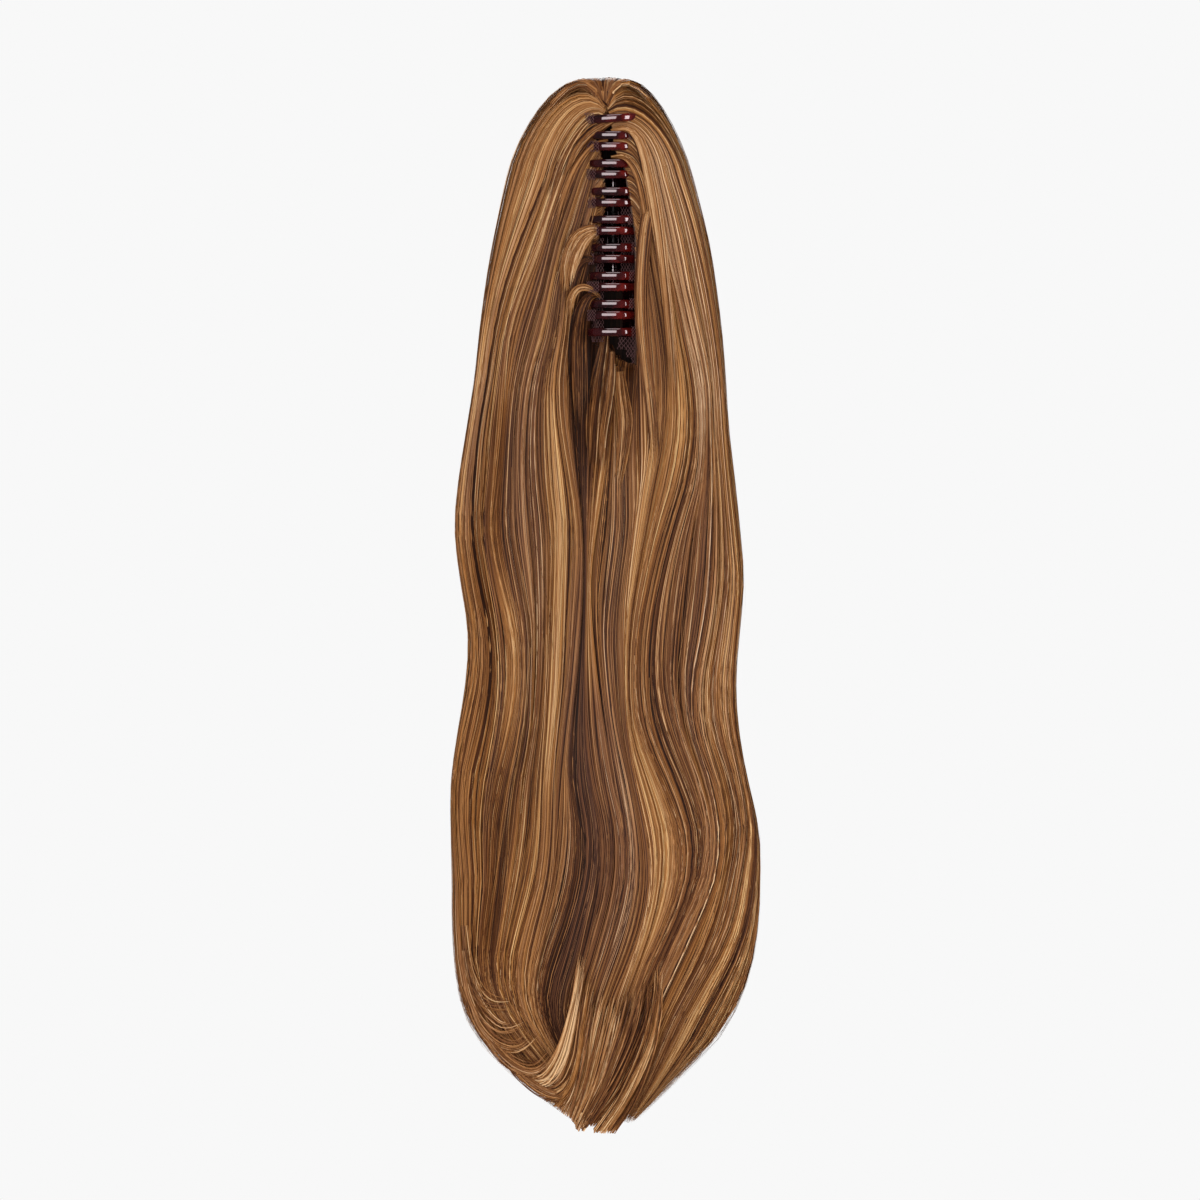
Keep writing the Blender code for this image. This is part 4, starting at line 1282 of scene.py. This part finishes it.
def add_tooth(bm, glow, side, z, tilt):
    """A round rod along the jaw's arc with a blunt rounded tip, redder near its middle with a painted glow
    of light through the shell.
    """
    angles = np.linspace(TOOTH_ROOT_ANGLE, TOOTH_TIP_ANGLE, TOOTH_STEPS)
    rings = [(angle, 1.0 - TOOTH_TAPER * (k / TOOTH_STEPS) ** 2) for k, angle in enumerate(angles)]
    tip_angle = math.degrees(TOOTH_HEIGHT / 2 / JAW_HALF_WIDTH)
    for k in range(1, TOOTH_TIP_STEPS + 1):
        turn = math.pi / 2 * k / TOOTH_TIP_STEPS
        taper = max((1 - TOOTH_TAPER) * math.cos(turn), TOOTH_POINT)
        rings.append((TOOTH_TIP_ANGLE + tip_angle * math.sin(turn), taper))
    points = []
    for angle, taper in rings:
        ring = []
        for i in range(TOOTH_SIDES):
            turn = 2 * math.pi * i / TOOTH_SIDES
            across = TOOTH_DEPTH / 2 * taper * squared(math.cos(turn))
            up = TOOTH_HEIGHT / 2 * taper * squared(math.sin(turn))
            x, y = jaw_point(side, angle, across)
            ring.append((x, y, z + up + tilt * x))
        points.append(ring)
    for loop, (angle, _) in zip(add_loft(bm, points), rings):
        for vert in loop:
            vert[glow] = float(np.clip(1.0 - abs(angle - GLOW_ANGLE[side]) / GLOW_REACH, 0.0, 1.0))


def arc_band(side, angles, inner, outer, z_low, z_high):
    """Rings of a curved plate along the jaw's arc, with softened long edges."""
    soft = min(EDGE_SOFTNESS, (outer - inner) / 3)
    rings = []
    for angle in angles:
        corners = (
            (inner, z_low + soft), (inner + soft, z_low), (outer - soft, z_low), (outer, z_low + soft),
            (outer, z_high - soft), (outer - soft, z_high), (inner + soft, z_high), (inner, z_high - soft),
        )
        rings.append([(*jaw_point(side, angle, offset), z) for offset, z in corners])
    return rings


def prism(outline, z_low, z_high):
    return [[(*p, z_low) for p in outline], [(*p, z_high) for p in outline]]


def circle(radius, sides=32):
    turns = [2 * math.pi * i / sides for i in range(sides)]
    return [(radius * math.cos(a), HINGE_Y + radius * math.sin(a)) for a in turns]


def link_mesh(name, bm, material, smooth_below=40.0):
    bmesh.ops.recalc_face_normals(bm, faces=bm.faces)
    mesh = bpy.data.meshes.new(name)
    bm.to_mesh(mesh)
    bm.free()
    mesh.shade_smooth()
    mesh.set_sharp_from_angle(angle=math.radians(smooth_below))
    mesh.materials.append(material)
    obj = bpy.data.objects.new(name, mesh)
    bpy.context.scene.collection.objects.link(obj)
    return obj


def make_jaw(side, material):
    """A jaw with round teeth, wall, yoke, lever and knuckles."""
    bm = bmesh.new()
    glow = bm.verts.layers.float.new("glow")
    half = WALL_THICKNESS / 2
    add_loft(bm, arc_band(side, np.linspace(*WALL_ANGLES, 20), -half, half, *WALL_Z))
    for i in range(TEETH_PER_JAW):
        tilt = TOP_TOOTH_TILT if side == LEFT and i == 0 else 0.0
        add_tooth(bm, glow, side, TOP_TOOTH_Z[side] - i * TOOTH_PITCH, tilt)
    turns = np.linspace(LEVER_HALF_ANGLE, YOKE_END_ANGLE, 16)
    yoke = [ray(side, a, YOKE_RADII[0]) for a in turns] + [ray(side, a, YOKE_RADII[1]) for a in turns[::-1]]
    add_loft(bm, prism(yoke, -LEVER_HALF_WIDTH, LEVER_HALF_WIDTH))
    lever = [
        ray(side, LEVER_HALF_ANGLE, LEVER_START),
        ray(side, LEVER_HALF_ANGLE, LEVER_REACH),
        ray(side, LEVER_HALF_ANGLE, LEVER_REACH, LEVER_THICKNESS),
        ray(side, LEVER_HALF_ANGLE, LEVER_START, LEVER_THICKNESS),
    ]
    add_loft(bm, prism(lever, -LEVER_HALF_WIDTH, LEVER_HALF_WIDTH))
    low, high = KNUCKLE_Z[side]
    for z_low, z_high in ((low, high), (-high, -low)):
        add_loft(bm, arc_band(side, np.linspace(*ARM_ANGLES, 6), -half, half, z_low, z_high))
        add_loft(bm, prism(circle(KNUCKLE_RADIUS), z_low, z_high))
    jaw = link_mesh(f"jaw_{SIDE_NAMES[side]}", bm, material)
    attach(jaw, SIDE_BODIES[side])
    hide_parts(f"claw_jaw_{SIDE_NAMES[side]}")


def thread_ring(side, angle, offset, z):
    """Points round a thread of netting at one place of the jaw's arc."""
    base = jaw_point(side, angle)
    ring = []
    for i in range(THREAD_SIDES):
        turn = 2 * math.pi * i / THREAD_SIDES
        spot = jaw_point(side, angle, offset + THREAD_RADIUS * math.cos(turn))
        aside = math.degrees(THREAD_RADIUS * math.sin(turn) / JAW_HALF_WIDTH)
        along = jaw_point(side, angle + aside)
        ring.append((spot[0] + along[0] - base[0], spot[1] + along[1] - base[1], z))
    return ring


def add_netting(bm, side, angles, heights, inset, spacing):
    """Zigzag threads that meet each other, on a stretch of the jaw's arc."""
    period = spacing * THREAD_PERIOD * MM
    low, high = heights
    steps = int((high - low) / (period / 4))
    for i in range(1 + int((angles[1] - angles[0]) / spacing)):
        rings = []
        for k in range(steps + 1):
            z = low + (high - low) * k / steps
            phase = 2 * math.pi * (z - low) / period + math.pi * (i % 2)
            crumple = math.sin(z / CRUMPLE_LENGTH + i * 0.9) if spacing < CRUMPLED_SPACING else 0.0
            angle = angles[0] + spacing * (i + THREAD_REACH * math.sin(phase)) + CRUMPLE_ANGLE * crumple
            offset = inset + THREAD_WAVE * math.cos(phase * 2 + i) + CRUMPLE_DEPTH * crumple
            rings.append(thread_ring(side, angle, offset, z))
        add_loft(bm, rings)


def make_net(side, material):
    """Netting round a jaw and the roots of its teeth, with folds that reach in behind them."""
    bm = bmesh.new()
    for row in NETTING[side]:
        add_netting(bm, side, **dict(zip(NETTING_COLUMNS, row)))
    for i in range(TEETH_PER_JAW):
        z = TOP_TOOTH_Z[side] - i * TOOTH_PITCH
        reach = SLEEVE_ANGLES[1] + 3.0 * math.sin(2.4 * i + side)
        heights = (z - SLEEVE_HALF_HEIGHT, z + SLEEVE_HALF_HEIGHT)
        add_netting(bm, side, (SLEEVE_ANGLES[0], reach), heights, SLEEVE_OFFSET, SLEEVE_SPACING)
    net = link_mesh(f"netting_{SIDE_NAMES[side]}", bm, material, smooth_below=180.0)
    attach(net, SIDE_BODIES[side])
    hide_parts(f"net_{SIDE_NAMES[side]}")


def add_grid(bm, points):
    """A sheet of quads through rows of points."""
    rows = [[bm.verts.new(point) for point in row] for row in points]
    for upper, lower in zip(rows, rows[1:]):
        for i in range(len(upper) - 1):
            bm.faces.new((upper[i], upper[i + 1], lower[i + 1], lower[i]))


def make_core(side, material):
    """Hair close beneath the strands of one half, front and back, painted dark as shade."""
    bm = bmesh.new()
    low, high = (CORE_EDGE, BODY_SPLIT) if side == LEFT else (BODY_SPLIT, LAST_GUIDE - CORE_EDGE)
    lanes = np.linspace(low, high, CORE_LANES)[:, None] + np.zeros((1, GUIDE_POINTS.shape[1]))
    front = flow_points(lanes)
    front[..., 0] *= 1 - CORE_DEPTH / CORE_REACH
    front[..., 1] += CORE_DEPTH
    front[..., 2] -= CORE_DEPTH * smoothstep(*CORE_TOP, front[..., 2])
    front[..., 2] += CORE_DEPTH * smoothstep(*CORE_ENDS, front[..., 2])
    add_grid(bm, front)
    heights = np.linspace(*CORE_BACK_Z, CORE_BACK_ROWS)[None, :]
    turns = np.linspace(*CORE_BACK_TURNS, CORE_BACK_COLUMNS)[:, None]
    back = back_point(side, turns + 0 * heights, heights + 0 * turns)
    centre_y = column("side", back[..., 2])
    inset = CORE_BACK_SHARE - 0.25 * smoothstep(-400 * MM, -440 * MM, heights)
    inset = inset - 0.08 * smoothstep(10 * MM, 44 * MM, heights)
    back[..., 0] *= inset
    back[..., 1] = centre_y + (back[..., 1] - centre_y) * (inset - 0.04)
    add_grid(bm, back)
    core = link_mesh(f"core_{SIDE_NAMES[side]}", bm, material, smooth_below=180.0)
    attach(core, SIDE_BODIES[side])
    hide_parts(f"hair_{SIDE_NAMES[side]}")


def make_inside(material):
    """Hair behind the claw's jaws, painted near black as shade, which closes the view through the teeth."""
    rng = np.random.default_rng(SEEDS["inside"])
    count = INSIDE_STRANDS
    x = np.sort(rng.uniform(*INSIDE_X, count))[:, None] * MM
    z = np.linspace(*INSIDE_Z, INSIDE_POINTS)[None, :] * MM
    y = HINGE_Y + INSIDE_SETBACK - np.abs(x) * INSIDE_CURVE + rng.uniform(*INSIDE_DEPTH, (count, 1)) * MM
    x = x + INSIDE_WAVE[0] * np.sin(z / INSIDE_WAVE[1] + rng.uniform(0, 6.28, (count, 1)))
    points = np.stack([x, y + 0 * z, z + 0 * x], axis=-1)
    normals = np.zeros_like(points)
    normals[..., 1] = -1.0
    # Painted shade: tones close to black.
    tone = rng.normal(0.0, 0.06, (count, 1)) + 0 * x
    add_hair("hair_inside", None, rng, (points, normals, tone, tone + 0.4), INSIDE_WIDTH, material)


def add_light(name, place, aim, size, power, in_gloss):
    light = bpy.data.lights.new(name, "AREA")
    light.shape = "RECTANGLE"
    light.size, light.size_y = size
    light.energy = power
    lamp = bpy.data.objects.new(name, light)
    lamp.visible_glossy = in_gloss
    lamp.location = place
    lamp.rotation_euler = (Vector(aim) - Vector(place)).to_track_quat("-Z", "Y").to_euler()
    bpy.context.scene.collection.objects.link(lamp)


def make_world():
    """A pale even background that lights the hair softly and shows little in gloss."""
    world = bpy.data.worlds.new("studio")
    bpy.context.scene.world = world
    world.use_nodes = True
    nodes, links = world.node_tree.nodes, world.node_tree.links
    background = nodes["Background"]
    background.inputs["Color"].default_value = linear(*[BACKGROUND_GREY] * 3)
    rays = nodes.new("ShaderNodeLightPath")
    gloss = nodes.new("ShaderNodeMapRange")
    gloss.inputs["To Min"].default_value = WORLD_LIGHT
    gloss.inputs["To Max"].default_value = WORLD_IN_GLOSS
    links.new(rays.outputs["Is Glossy Ray"], gloss.inputs["Value"])
    seen = nodes.new("ShaderNodeMix")
    seen.inputs["B"].default_value = 1.0
    links.new(rays.outputs["Is Camera Ray"], seen.inputs["Factor"])
    links.new(gloss.outputs["Result"], seen.inputs["A"])
    links.new(seen.outputs["Result"], background.inputs["Strength"])


def make_stage():
    """A pale round floor below the hanging hair, out of the photograph's frame."""
    bm = bmesh.new()
    bmesh.ops.create_circle(bm, cap_ends=True, segments=96, radius=FLOOR_RADIUS)
    for vert in bm.verts:
        vert.co.z = FLOOR_Z
    floor = link_mesh("floor", bm, plain_material("pale_floor", [FLOOR_GREY] * 3, 0.8))
    floor.visible_glossy = False


def make_camera():
    camera = bpy.data.cameras.new("camera")
    camera.sensor_width = SENSOR_WIDTH
    camera.lens = SENSOR_WIDTH * CAMERA_DISTANCE / FRAME_WIDTH
    eye = bpy.data.objects.new("camera", camera)
    centre_x, centre_z = from_pixels(FRAME_PIXELS / 2, FRAME_PIXELS / 2)
    eye.location = (centre_x, -CAMERA_DISTANCE, centre_z)
    eye.rotation_euler = (math.pi / 2, 0.0, 0.0)
    bpy.context.scene.collection.objects.link(eye)
    bpy.context.scene.camera = eye


def make_lights():
    """A wide soft light in front, a strip that shows in the teeth, two sides, top and back."""
    for row in LIGHTS:
        add_light(**dict(zip(LIGHT_COLUMNS, row)))


def build():
    bpy.context.scene.view_settings.view_transform = "Standard"
    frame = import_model()
    hair = hair_material()
    core = core_material()
    shell_gloss = shell_material()
    net = plain_material("dark_netting", NET_COLOUR, 0.6, grain=3000.0)
    steel = plain_material("spring_steel", STEEL_COLOUR, 0.3, metallic=1.0)

    for side in (LEFT, RIGHT):
        make_jaw(side, shell_gloss)
        make_net(side, net)
        make_core(side, core)
    make_front_hair(hair)
    make_back_hair(hair)
    make_tuft(hair)
    make_inside(hair)
    make_locks(hair)
    make_flyaways(hair)
    for node in ("hinge_pin", "torsion_spring"):
        frame["nodes"][node].data.materials.clear()
        frame["nodes"][node].data.materials.append(steel)

    make_stage()
    make_world()
    make_lights()
    make_camera()


build()
